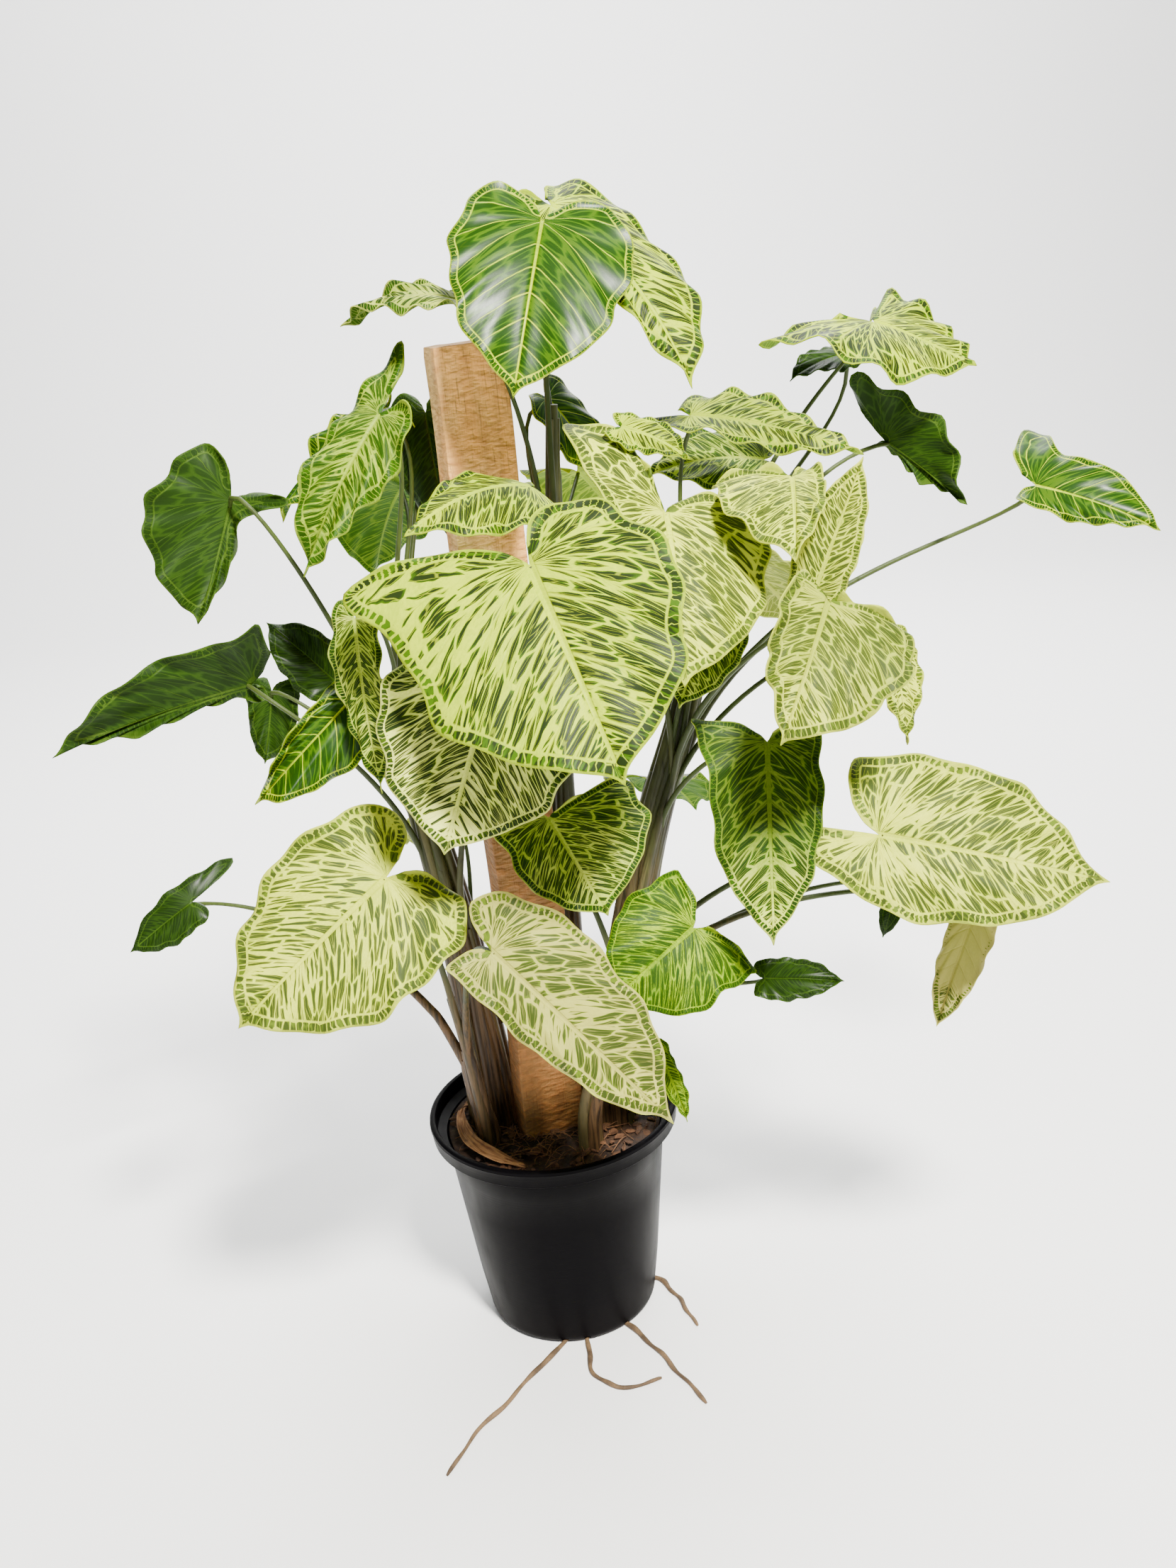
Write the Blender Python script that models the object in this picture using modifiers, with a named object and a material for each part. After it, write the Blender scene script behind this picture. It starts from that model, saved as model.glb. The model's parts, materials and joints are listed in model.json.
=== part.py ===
"""Potted batik syngonium: an arrow-leaved climbing aroid with cream-veined leaves, in its nursery pot.

Sizes and places below are in millimetres, with the origin at the middle of the pot's base, +Z up and the
photograph's viewer on the -Y side. Each object is scaled to metres as it is made.
"""

import math

import bmesh
import bpy
import numpy as np
from mathutils import Vector
from mathutils.bvhtree import BVHTree

MM = 0.001
MERGE = 0.00005

# The clearance between touching pieces, and how far a cutter runs past what it cuts
GAP = 0.35
CUT_BELOW = 2.0
CUT_ABOVE = 20.0

# The pot
POT_HEIGHT = 173.0
RIM_RADIUS = 95.0
LIP_HEIGHT = 14.0
LIP_EDGE = 3.0
LIP_DRAFT = 1.5
BODY_TOP_RADIUS = 84.0
BASE_RADIUS = 66.0
CORNER_WIDE = 6.0
CORNER_HIGH = 9.0
CORNER_ANGLES = (75, 40, 0)
WALL = 2.0
FLOOR_THICKNESS = 3.0
POT_STEPS = 32

# The moulded channel in the pot's base, its drain holes, and the notches that roots leave by
CHANNEL_IN = 45.0
CHANNEL_OUT = 57.5
CHANNEL_DRAFT = 0.75
CHANNEL_HEIGHT = 4.2
DRAIN_HOLES = 6
DRAIN_RADIUS = 4.5
DRAIN_SIDES = 8
DRAIN_TURN = 0.3
NOTCH_HEIGHT = 4.6
NOTCH_LENGTH = 34.0
NOTCH_CLEARANCE = 0.6

# The soil and the stake
SOIL_TOP = 160.0
SOIL_FOOT_RADIUS = 59.0
HOLE_SIDES = 12
STAKE_FOOT = (-2.0, -11.0, 20.0)
STAKE_TOP = 736.0
STAKE_WIDE_TOP = 47.0
STAKE_WIDE_FOOT = 26.0
STAKE_THICK = 24.0
STAKE_TURN = 20.0
STAKE_EDGE = 1.2

# Leaf blades: grid rings as shares from joint to margin, and spokes on each side of the midrib
BLADE_THICKNESS = 1.0
CROSS_CURL = 16.0
MARGIN_WAVES = 3.5
RING_PLACES = (0.0, 0.4, 0.74, 1.0)
SPOKES_LARGE = 9
SPOKES_SMALL = 7
SMALL_BLADE = 98.0

# Stems and petioles: a petiole meets its blade just tipwards of the joint, from below and behind
STEM_DEPTH = 14.0
STEM_STRAIGHT = 12.0
STEM_POINTS = 13
PETIOLE_FOOT_RADIUS = 2.4
PETIOLE_END_RADIUS = 1.3
PETIOLE_POINTS = 6
PETIOLE_SPREAD = 0.25
PETIOLE_RISE = 0.45
PETIOLE_ARRIVAL = 0.3
SEAT_AHEAD = 3.0
SEAT_STEP = 0.1
SEAT_STEPS = 80
SEAT_SIDES = 8
MEET_UP = 0.85
MEET_AHEAD = 0.3

# Roots and the dry sheath
ROOT_RADIUS = 1.8
ROOT_TAPER = 0.6
ROOT_POINTS = 14
ROOT_LIFT = 0.25
SHEATH_RADIUS = 72.0
SHEATH_MIDDLE = 205
SHEATH_SPAN = 50
SHEATH_HALF_WIDTH = 4.0
SHEATH_ARCH = 4.0
SHEATH_CURL = 5.0
SHEATH_GRID = (10, 3)

# Colour and roughness of each finish
FINISHES = {
    "black_plastic": ((0.012, 0.012, 0.014), 0.45),
    "coir_soil": ((0.075, 0.040, 0.022), 0.95),
    "sawn_wood": ((0.56, 0.29, 0.12), 0.75),
    "stem_skin": ((0.16, 0.15, 0.06), 0.55),
    "root_skin": ((0.24, 0.16, 0.09), 0.7),
    "dry_sheath": ((0.30, 0.15, 0.07), 0.85),
    "leaf_lime": ((0.46, 0.60, 0.10), 0.4),
    "leaf_cream": ((0.66, 0.68, 0.38), 0.45),
    "leaf_dark": ((0.07, 0.17, 0.04), 0.4),
    "leaf_green": ((0.11, 0.30, 0.05), 0.35),
    "leaf_plain": ((0.10, 0.20, 0.05), 0.5),
}

# Each stem: the route of its thick sheathed part, and that part's radius at foot and top
STEMS = {
    "stem_centre": (((20, 25, 0), (24, 24, 260), (30, 14, 420), (42, 6, 600), (50, 6, 690)), 12.0, 5.5),
    "stem_left": (((-45, 8, 0), (-48, 8, 230), (-57, 4, 340), (-72, 2, 440), (-84, 6, 510)), 22.0, 7.5),
    "stem_right": (((46, -6, 0), (53, -8, 230), (84, -10, 370), (118, -10, 470), (140, -6, 540)), 20.0, 9.5),
    "stem_low_left": (((-50, -26, 0), (-53, -28, 200), (-57, -34, 250), (-62, -42, 290)), 9.0, 4.5),
    "stem_low_right": (((26, -42, 0), (30, -44, 200), (48, -50, 255), (66, -56, 300)), 9.0, 4.5),
}

# One leaf a line: name, finish, stem, height where its petiole leaves the stem, joint, tip,
# half widths on either side, the basal lobes as back and out on either side, the way the upper face
# looks, and in degrees or millimetres the bend along, the fold at the midrib and the margin's wave.
LEAVES = (
    ("crown_heart", "leaf_green", "stem_centre", 640, (55, -45, 802), (28, -100, 706),
     (51, 57), (19, 30, 17, 32), (0.05, -1.0, 0.35), (26, 10, 2)),
    ("crown_right", "leaf_lime", "stem_centre", 650, (62, 6, 812), (141, -58, 699),
     (24, 55), (20, 20, 26, 34), (0.45, -0.75, 0.5), (40, -6, 4)),
    ("crown_left", "leaf_dark", "stem_centre", 600, (6, -36, 758), (-76, -20, 751),
     (15, 16), (10, 10, 10, 10), (0.0, -0.35, 0.95), (70, 8, 4)),
    ("big_front", "leaf_lime", "stem_centre", 450, (28, -130, 613), (71, -210, 498),
     (92, 77), (41, 106, 34, 30), (-0.05, -0.9, 0.5), (22, 6, 3)),
    ("arched_over_front", "leaf_lime", "stem_centre", 520, (32, -60, 648), (-44, -116, 632),
     (30, 36), (14, 20, 14, 20), (-0.1, -0.55, 0.85), (58, -8, 3)),
    ("centre_back_green", "leaf_green", "stem_centre", 560, (48, 46, 690), (82, 60, 622),
     (26, 28), (12, 16, 12, 16), (0.2, -0.5, 0.9), (30, 8, 2)),
    ("left_hanging_plain", "leaf_plain", "stem_left", 430, (-164, -14, 650), (-192, -44, 576),
     (10, 50), (12, 36, 32, 24), (0.15, 0.95, 0.35), (20, -8, 6)),
    ("left_patched", "leaf_lime", "stem_left", 490, (-58, -36, 698), (-116, -74, 608),
     (26, 28), (48, 12, 10, 14), (-0.3, -0.85, 0.45), (24, 8, 6)),
    ("left_arched", "leaf_green", "stem_left", 480, (-62, 24, 696), (-134, -8, 632),
     (20, 26), (14, 14, 14, 14), (-0.5, -0.65, 0.6), (50, -6, 6)),
    ("left_shaded", "leaf_plain", "stem_left", 470, (-36, 48, 688), (-30, 46, 604),
     (28, 30), (16, 16, 16, 16), (-0.1, -0.8, 0.5), (24, 6, 3)),
    ("left_long_dark", "leaf_plain", "stem_left", 360, (-167, -30, 531), (-298, -62, 503),
     (9, 42), (8, 10, 24, 52), (0.05, 0.95, 0.3), (22, -8, 5)),
    ("left_small_dark", "leaf_plain", "stem_left", 380, (-120, 16, 516), (-162, 24, 560),
     (20, 22), (10, 12, 10, 12), (-0.3, -0.6, 0.75), (30, 8, 3)),
    ("left_notched_dark", "leaf_plain", "stem_left", 400, (-166, 24, 510), (-176, 10, 461),
     (20, 16), (10, 14, 8, 12), (0.1, 0.8, 0.5), (20, 4, 6)),
    ("left_bright_folded", "leaf_green", "stem_left", 370, (-88, -52, 530), (-167, -84, 464),
     (16, 32), (12, 10, 14, 20), (0.4, -0.8, 0.5), (26, 16, 7)),
    ("left_narrow_dark", "leaf_dark", "stem_left", 420, (-86, -76, 578), (-80, -96, 469),
     (18, 18), (14, 12, 14, 12), (-0.4, -0.8, 0.4), (20, 14, 3)),
    ("dark_behind_front", "leaf_dark", "stem_left", 330, (-4, -112, 536), (-42, -150, 443),
     (62, 64), (16, 40, 16, 40), (0.0, -0.95, 0.4), (20, 8, 5)),
    ("right_parasol", "leaf_lime", "stem_right", 500, (265, 12, 722), (319, -18, 686),
     (62, 46), (54, 60, 12, 46), (0.3, -0.42, 0.85), (26, 6, 5)),
    ("right_dark_lobe", "leaf_plain", "stem_right", 500, (256, 56, 700), (211, 34, 690),
     (14, 15), (6, 9, 6, 9), (0.0, -0.5, 0.85), (30, 6, 2)),
    ("right_hanging_dark", "leaf_plain", "stem_right", 470, (270, 12, 645), (316, -18, 602),
     (32, 7), (42, 34, 4, 5), (-0.3, 0.7, 0.6), (20, 10, 6)),
    ("right_far", "leaf_green", "stem_right", 430, (362, -20, 611), (431, -60, 583),
     (18, 28), (9, 12, 30, 48), (-0.1, -0.75, 0.65), (24, 6, 3)),
    ("right_long_low", "leaf_lime", "stem_right", 500, (140, -8, 676), (243, -44, 643),
     (22, 26), (32, 8, 14, 14), (-0.1, -0.45, 0.88), (26, 10, 4)),
    ("small_over_centre", "leaf_lime", "stem_right", 520, (92, -54, 678), (133, -66, 656),
     (14, 14), (8, 8, 8, 8), (-0.1, -0.6, 0.8), (34, 8, 2)),
    ("dark_under_long", "leaf_dark", "stem_right", 510, (194, 56, 634), (108, 46, 634),
     (28, 30), (12, 16, 12, 16), (0.0, -0.6, 0.8), (34, 8, 3)),
    ("cream_long_lobe", "leaf_cream", "stem_right", 440, (113, -90, 629), (112, -148, 534),
     (36, 64), (76, 50, 13, 30), (0.3, -0.88, 0.35), (24, 8, 4)),
    ("cream_top", "leaf_cream", "stem_right", 460, (194, -70, 640), (184, -140, 604),
     (48, 20), (10, 44, 14, 8), (0.0, -0.5, 0.85), (36, 6, 4)),
    ("cream_right", "leaf_cream", "stem_right", 420, (204, -126, 573), (161, -194, 507),
     (27, 58), (14, 20, 6, 48), (0.1, -0.85, 0.5), (34, 10, 6)),
    ("cream_upright", "leaf_cream", "stem_right", 410, (202, -92, 572), (236, -84, 650),
     (18, 20), (8, 10, 8, 10), (-0.2, -0.95, 0.1), (18, 12, 3)),
    ("right_light_strip", "leaf_cream", "stem_right", 400, (254, -56, 531), (258, -86, 463),
     (13, 17), (6, 8, 6, 8), (0.3, -0.8, 0.4), (26, 8, 3)),
    ("dark_between", "leaf_dark", "stem_right", 430, (140, -66, 560), (112, -98, 506),
     (28, 28), (12, 16, 12, 16), (0.0, -0.8, 0.6), (26, 8, 2)),
    ("dark_with_bright_tip", "leaf_dark", "stem_right", 380, (166, -100, 479), (157, -150, 360),
     (38, 34), (17, 48, 12, 34), (-0.1, -0.95, 0.3), (24, 8, 3)),
    ("cream_far_right", "leaf_cream", "stem_low_right", 280, (229, -134, 422), (366, -156, 384),
     (48, 56), (54, 4, 26, 46), (0.0, -0.85, 0.55), (18, 6, 5)),
    ("beige_hanging", "leaf_cream", "stem_low_right", 270, (300, -96, 345), (266, -118, 271),
     (14, 17), (6, 8, 6, 8), (-0.3, -0.8, 0.3), (24, 12, 3)),
    ("right_tiny_dark", "leaf_plain", "stem_low_right", 260, (255, -60, 347), (243, -66, 317),
     (8, 8), (4, 5, 4, 5), (-0.2, -0.9, 0.4), (20, 8, 1)),
    ("right_low_dark", "leaf_plain", "stem_low_right", 240, (155, -100, 312), (208, -112, 311),
     (15, 14), (6, 9, 6, 9), (0.0, -0.8, 0.6), (26, 10, 2)),
    ("low_green", "leaf_green", "stem_low_right", 270, (110, -106, 357), (52, -130, 322),
     (42, 46), (18, 34, 16, 48), (0.1, -0.85, 0.5), (20, 6, 3)),
    ("dark_centre", "leaf_dark", "stem_low_right", 290, (22, -84, 436), (55, -116, 376),
     (36, 59), (20, 36, 2, 46), (0.0, -0.9, 0.5), (22, 6, 3)),
    ("rim_green", "leaf_green", "stem_low_right", 215, (80, -52, 240), (99, -72, 188),
     (9, 9), (5, 6, 5, 6), (0.3, -0.8, 0.5), (24, 8, 2)),
    ("cream_front_low", "leaf_cream", "stem_low_left", 250, (-21, -142, 371), (85, -166, 247),
     (28, 48), (14, 26, 30, 16), (0.0, -0.85, 0.55), (22, 6, 4)),
    ("cream_left_low", "leaf_cream", "stem_low_left", 270, (-86, -104, 413), (-186, -152, 339),
     (58, 68), (38, 30, 26, 46), (-0.05, -0.88, 0.5), (22, 6, 5)),
    ("far_left_dark", "leaf_plain", "stem_low_left", 240, (-232, -40, 382), (-276, -52, 354),
     (16, 18), (42, 12, 6, 12), (-0.1, -0.85, 0.5), (22, 8, 2)),
    ("back_high_right", "leaf_lime", "stem_centre", 520, (64, 118, 630), (100, 206, 550),
     (44, 46), (20, 30, 20, 30), (0.2, 0.7, 0.7), (34, 8, 4)),
    ("back_high_left", "leaf_green", "stem_left", 470, (-66, 120, 630), (-106, 206, 548),
     (44, 44), (20, 28, 20, 28), (-0.2, 0.7, 0.7), (34, 8, 4)),
    ("back_middle", "leaf_cream", "stem_centre", 440, (24, 140, 540), (20, 226, 436),
     (50, 48), (24, 34, 24, 34), (0.0, 0.8, 0.6), (30, 8, 4)),
    ("back_right", "leaf_cream", "stem_right", 400, (166, 96, 560), (236, 170, 474),
     (44, 46), (20, 30, 20, 30), (0.5, 0.6, 0.6), (32, 8, 4)),
    ("back_left", "leaf_lime", "stem_left", 350, (-108, 104, 470), (-172, 176, 400),
     (42, 44), (20, 28, 20, 28), (-0.5, 0.6, 0.6), (32, 8, 4)),
    ("back_low_right", "leaf_green", "stem_right", 270, (96, 112, 388), (140, 196, 324),
     (38, 38), (18, 26, 18, 26), (0.3, 0.7, 0.7), (30, 8, 3)),
    ("back_low_left", "leaf_cream", "stem_left", 250, (-56, 116, 372), (-92, 200, 306),
     (38, 38), (18, 26, 18, 26), (-0.3, 0.7, 0.7), (30, 8, 3)),
)

# The roots, as the points that each passes on the floor, seen from above
ROOTS = {
    "root_left_front": ((-4, -50), (-7, -62), (-24, -84), (-38, -104), (-56, -128), (-74, -152), (-92, -187)),
    "root_curl_front": ((7, -50), (9, -62), (10, -84), (14, -104), (28, -117), (46, -118), (62, -112)),
    "root_right_front": ((31, -39), (39, -49), (54, -70), (66, -92), (80, -118), (92, -142)),
    "root_right_side": ((48, 6), (58, 3), (68, 0), (78, -15), (86, -36), (94, -59)),
}


def clear_scene():
    """Empties the scene, so that the script gives the same model wherever it is run."""
    for obj in list(bpy.data.objects):
        bpy.data.objects.remove(obj, do_unlink=True)


def new_collection(name, hidden=False):
    """Makes a collection in the scene."""
    group = bpy.data.collections.new(name)
    bpy.context.scene.collection.children.link(group)
    group.hide_render = hidden
    return group


def finish_material(finish, name):
    """One material for one object: its finish's colour and roughness on a Principled shader."""
    colour, roughness = FINISHES[finish]
    material = bpy.data.materials.new(name)
    material.use_nodes = True
    shader = material.node_tree.nodes["Principled BSDF"]
    shader.inputs["Base Color"].default_value = (*colour, 1.0)
    shader.inputs["Roughness"].default_value = roughness
    shader.inputs["Metallic"].default_value = 0.0
    return material


def add_object(name, data, group, finish=None):
    """Links a mesh or curve as an object of the collection, with its own material."""
    obj = bpy.data.objects.new(name, data)
    group.objects.link(obj)
    if finish:
        data.materials.append(finish_material(finish, name))
    return obj


def mesh_from(bm, name):
    """Writes an edit mesh to a new mesh and frees it."""
    mesh = bpy.data.meshes.new(name)
    bm.to_mesh(mesh)
    bm.free()
    return mesh


def face_outwards(bm):
    """Turns the faces of a closed mesh outwards."""
    if bm.calc_volume(signed=True) < 0:
        bmesh.ops.reverse_faces(bm, faces=bm.faces)


def as_mesh(obj, group, finish=None):
    """Replaces a curve by its evaluated mesh, with the caps welded on."""
    graph = bpy.context.evaluated_depsgraph_get()
    graph.update()
    mesh = bpy.data.meshes.new_from_object(obj.evaluated_get(graph), depsgraph=graph)
    bm = bmesh.new()
    bm.from_mesh(mesh)
    bmesh.ops.remove_doubles(bm, verts=bm.verts, dist=MERGE)
    bmesh.ops.triangulate(bm, faces=bm.faces)
    face_outwards(bm)
    bm.to_mesh(mesh)
    bm.free()
    mesh.materials.clear()
    name = obj.name
    place = obj.matrix_world.copy()
    bpy.data.objects.remove(obj, do_unlink=True)
    solid = add_object(name, mesh, group, finish)
    solid.matrix_world = place
    return solid


def tube(name, points, radii, group):
    """A tapered six-sided tube with filled caps along points in millimetres."""
    data = bpy.data.curves.new(name, "CURVE")
    data.dimensions = "3D"
    data.bevel_depth = MM
    data.bevel_resolution = 1
    data.use_fill_caps = True
    line = data.splines.new("POLY")
    line.points.add(len(points) - 1)
    for point, place, radius in zip(line.points, points, radii):
        point.co = (*(c * MM for c in place), 1.0)
        point.radius = radius
    return add_object(name, data, group)


def smooth_route(knots, count):
    """A Catmull-Rom curve through the knots, read at evenly spaced places."""
    knots = np.array(knots, float)
    ends = np.vstack([2 * knots[0] - knots[1], knots, 2 * knots[-1] - knots[-2]])
    pieces = []
    for k in range(1, len(ends) - 2):
        before, start, end, after = ends[k - 1 : k + 3]
        for t in np.linspace(0, 1, 16, endpoint=False):
            pieces.append(0.5 * (2 * start + (end - before) * t
                                 + (2 * before - 5 * start + 4 * end - after) * t**2
                                 + (3 * start - before - 3 * end + after) * t**3))
    pieces.append(knots[-1])
    fine = np.array(pieces)
    along = np.concatenate([[0.0], np.cumsum(np.linalg.norm(np.diff(fine, axis=0), axis=1))])
    wanted = np.linspace(0, along[-1], count)
    return np.stack([np.interp(wanted, along, fine[:, i]) for i in range(fine.shape[1])], -1)


def cut(target, cutter, group):
    """Takes the cutter away from the target, and keeps the cutter as a hidden wire."""
    cutter.display_type = "WIRE"
    cutter.hide_render = True
    for owner in list(cutter.users_collection):
        owner.objects.unlink(cutter)
    group.objects.link(cutter)
    step = target.modifiers.new(f"cut_{cutter.name}", "BOOLEAN")
    step.operation = "DIFFERENCE"
    step.object = cutter
    step.solver = "EXACT"


def cylinder(name, radius, low, high, place, sides, group):
    """A closed upright cylinder between two heights, in millimetres."""
    bm = bmesh.new()
    bmesh.ops.create_cone(bm, cap_ends=True, segments=sides, radius1=radius * MM, radius2=radius * MM,
                          depth=(high - low) * MM)
    obj = add_object(name, mesh_from(bm, name), group)
    obj.location = (place[0] * MM, place[1] * MM, (low + high) / 2 * MM)
    return obj


def wall_radius(height):
    """Outer radius of the pot's body at a height."""
    return BASE_RADIUS + (BODY_TOP_RADIUS - BASE_RADIUS) * height / (POT_HEIGHT - LIP_HEIGHT)


def make_pot(parts, cutters):
    """The pot: a turned shell with a lip, a flat middle to its base, drain holes and root notches."""
    under_lip = POT_HEIGHT - LIP_HEIGHT
    inner_floor = CHANNEL_HEIGHT + FLOOR_THICKNESS
    lip_inside = RIM_RADIUS - LIP_EDGE - WALL
    corner = [(BASE_RADIUS - CORNER_WIDE * (1 - math.sin(a)), CORNER_HIGH * (1 - math.cos(a)))
              for a in map(math.radians, CORNER_ANGLES)]
    profile = [
        (RIM_RADIUS - LIP_EDGE, POT_HEIGHT),
        (RIM_RADIUS - LIP_EDGE / 6, POT_HEIGHT - LIP_EDGE / 2),
        (RIM_RADIUS, POT_HEIGHT - LIP_EDGE),
        (RIM_RADIUS - LIP_DRAFT, under_lip),
        (BODY_TOP_RADIUS, under_lip),
        *corner,
        (CHANNEL_OUT, 0.0),
        (CHANNEL_OUT - CHANNEL_DRAFT, CHANNEL_HEIGHT),
        (CHANNEL_IN + CHANNEL_DRAFT, CHANNEL_HEIGHT),
        (CHANNEL_IN, 0.0),
        (0.0, 0.0),
        (0.0, inner_floor),
        (BASE_RADIUS - CORNER_WIDE, inner_floor),
        (wall_radius(2 * inner_floor) - WALL, 2 * inner_floor),
        (BODY_TOP_RADIUS - WALL, under_lip - LIP_EDGE),
        (lip_inside - LIP_DRAFT, under_lip + LIP_DRAFT),
        (lip_inside, POT_HEIGHT),
    ]
    bm = bmesh.new()
    dots = [bm.verts.new((r * MM, 0.0, z * MM)) for r, z in profile]
    for first, second in zip(dots, dots[1:] + dots[:1]):
        if abs(first.co.x) + abs(second.co.x) > 1e-9:
            bm.edges.new((first, second))
    pot = add_object("pot", mesh_from(bm, "pot"), parts, "black_plastic")
    turn = pot.modifiers.new("turn", "SCREW")
    turn.axis = "Z"
    turn.angle = math.tau
    turn.steps = POT_STEPS
    turn.render_steps = POT_STEPS
    turn.use_merge_vertices = True
    turn.merge_threshold = MERGE
    turn.use_normal_calculate = True
    middle = (CHANNEL_IN + CHANNEL_OUT) / 2
    for index in range(DRAIN_HOLES):
        angle = math.tau * (index + DRAIN_TURN) / DRAIN_HOLES
        place = (middle * math.cos(angle), middle * math.sin(angle))
        drain = cylinder(f"drain_cutter_{index}", DRAIN_RADIUS, -CUT_BELOW, CUT_ABOVE,
                         place, DRAIN_SIDES, cutters)
        cut(pot, drain, cutters)
    for name, route in ROOTS.items():
        inner, outer = np.array(route[0], float), np.array(route[1], float)
        heading = outer - inner
        heading /= np.linalg.norm(heading)
        side = np.array([-heading[1], heading[0]]) * (ROOT_RADIUS + NOTCH_CLEARANCE)
        bm = bmesh.new()
        bmesh.ops.create_cube(bm, size=1.0)
        near, far = inner - heading, inner + heading * NOTCH_LENGTH
        for vert in bm.verts:
            along = near if vert.co.x < 0 else far
            across = side if vert.co.y > 0 else -side
            height = NOTCH_HEIGHT if vert.co.z > 0 else -CUT_BELOW
            vert.co = Vector((*(along + across), height)) * MM
        face_outwards(bm)
        cutter = add_object(f"notch_{name}", mesh_from(bm, f"notch_{name}"), cutters)
        cut(pot, cutter, cutters)
    return pot


def make_stake(parts):
    """The stake: a tapered squared post, sawn flat at the top, its edges slightly eased."""
    bm = bmesh.new()
    bmesh.ops.create_cube(bm, size=1.0)
    for vert in bm.verts:
        top = vert.co.z > 0
        wide = STAKE_WIDE_TOP if top else STAKE_WIDE_FOOT
        height = STAKE_TOP if top else STAKE_FOOT[2]
        vert.co = Vector((math.copysign(wide / 2, vert.co.x), math.copysign(STAKE_THICK / 2, vert.co.y),
                          height)) * MM
    bmesh.ops.bevel(bm, geom=bm.edges, offset=STAKE_EDGE * MM, segments=1, affect="EDGES")
    stake = add_object("stake", mesh_from(bm, "stake"), parts, "sawn_wood")
    stake.location = (STAKE_FOOT[0] * MM, STAKE_FOOT[1] * MM, 0.0)
    stake.rotation_euler = (0.0, 0.0, math.radians(STAKE_TURN))
    return stake


def make_soil(parts, cutters):
    """The soil: fills the pot, with a plain hole for each stem and for the stake."""
    low = CHANNEL_HEIGHT + FLOOR_THICKNESS + GAP
    top_radius = BODY_TOP_RADIUS - WALL - 2 * GAP
    bm = bmesh.new()
    bmesh.ops.create_cone(bm, cap_ends=True, segments=POT_STEPS, radius1=SOIL_FOOT_RADIUS * MM,
                          radius2=top_radius * MM, depth=(SOIL_TOP - low) * MM)
    bmesh.ops.translate(bm, verts=bm.verts, vec=(0, 0, (SOIL_TOP + low) / 2 * MM))
    soil = add_object("soil", mesh_from(bm, "soil"), parts, "coir_soil")
    for name, (route, foot_radius, _) in STEMS.items():
        radius = foot_radius / math.cos(math.pi / HOLE_SIDES) + GAP
        hole = cylinder(f"hole_{name}", radius, SOIL_TOP - STEM_DEPTH - GAP,
                        SOIL_TOP + CUT_ABOVE, route[0], HOLE_SIDES, cutters)
        cut(soil, hole, cutters)
    bm = bmesh.new()
    bmesh.ops.create_cube(bm, size=1.0)
    for vert in bm.verts:
        height = SOIL_TOP + CUT_ABOVE if vert.co.z > 0 else STAKE_FOOT[2] - GAP
        share = (height - STAKE_FOOT[2]) / (STAKE_TOP - STAKE_FOOT[2])
        wide = STAKE_WIDE_FOOT + (STAKE_WIDE_TOP - STAKE_WIDE_FOOT) * share + 2 * GAP
        vert.co = Vector((math.copysign(wide / 2, vert.co.x),
                          math.copysign(STAKE_THICK / 2 + GAP, vert.co.y), height)) * MM
    slot = add_object("stake_slot", mesh_from(bm, "stake_slot"), cutters)
    slot.location = (STAKE_FOOT[0] * MM, STAKE_FOOT[1] * MM, 0.0)
    slot.rotation_euler = (0.0, 0.0, math.radians(STAKE_TURN))
    cut(soil, slot, cutters)
    return soil


def arc(distance, start, curvature):
    """Along and up from the start of an arc, after a distance along it."""
    if abs(curvature) < 1e-7:
        return distance * math.cos(start), distance * math.sin(start)
    turned = start + curvature * distance
    return (np.sin(turned) - math.sin(start)) / curvature, (math.cos(start) - np.cos(turned)) / curvature


def half_margin(length, half, back, out, count):
    """One side of a blade's outline, from the tip round the lobe to the notch, as along and across."""
    reach = 0.6 * max(half, out) + 0.4 * out
    knots = ((length, 0.0), (0.94 * length, 0.08 * half), (0.85 * length, 0.36 * half),
             (0.68 * length, 0.72 * half), (0.42 * length, 0.96 * half), (0.12 * length, half),
             (-0.55 * back, reach), (-back, out), (-0.82 * back, 0.42 * out), (-0.4 * back, 0.12 * out))
    return smooth_route(knots, count + 1)


def blade_grid(leaf, spokes, rings):
    """Points of the blade's middle surface: a row for each spoke of the joint, a column for each ring."""
    _, _, _, _, joint, tip, halves, lobes, face, (bend, fold, wave) = leaf
    joint, tip = np.array(joint, float), np.array(tip, float)
    chord = np.linalg.norm(tip - joint)
    bend, fold = math.radians(bend), math.radians(fold)
    length = chord * (bend / 2) / math.sin(bend / 2)
    left = half_margin(length, halves[0], lobes[0], lobes[1], spokes) * (1, -1)
    right = half_margin(length, halves[1], lobes[2], lobes[3], spokes)
    margin = np.vstack([left[::-1], right[1:]])
    place = np.linspace(-1, 1, len(margin))[:, None]
    rings = np.array(rings)[None, :]
    along = margin[:, :1] * rings
    across = margin[:, 1:] * rings
    width = max(halves)
    out, rise = arc(np.abs(across), fold, -math.radians(CROSS_CURL) / width)
    out = out * np.sign(across)
    rise = rise + wave * rings**3 * np.sin(math.pi * MARGIN_WAVES * place + joint[0])
    forward, lift = arc(along, bend / 2, -bend / length)
    lean = bend / 2 - bend / length * along
    forward = forward - rise * np.sin(lean)
    lift = lift + rise * np.cos(lean)
    ahead = (tip - joint) / chord
    up = np.array(face, float)
    up -= ahead * (up @ ahead)
    up /= np.linalg.norm(up)
    side = np.cross(up, ahead)
    return joint + forward[..., None] * ahead + out[..., None] * side + lift[..., None] * up, up, ahead


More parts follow.
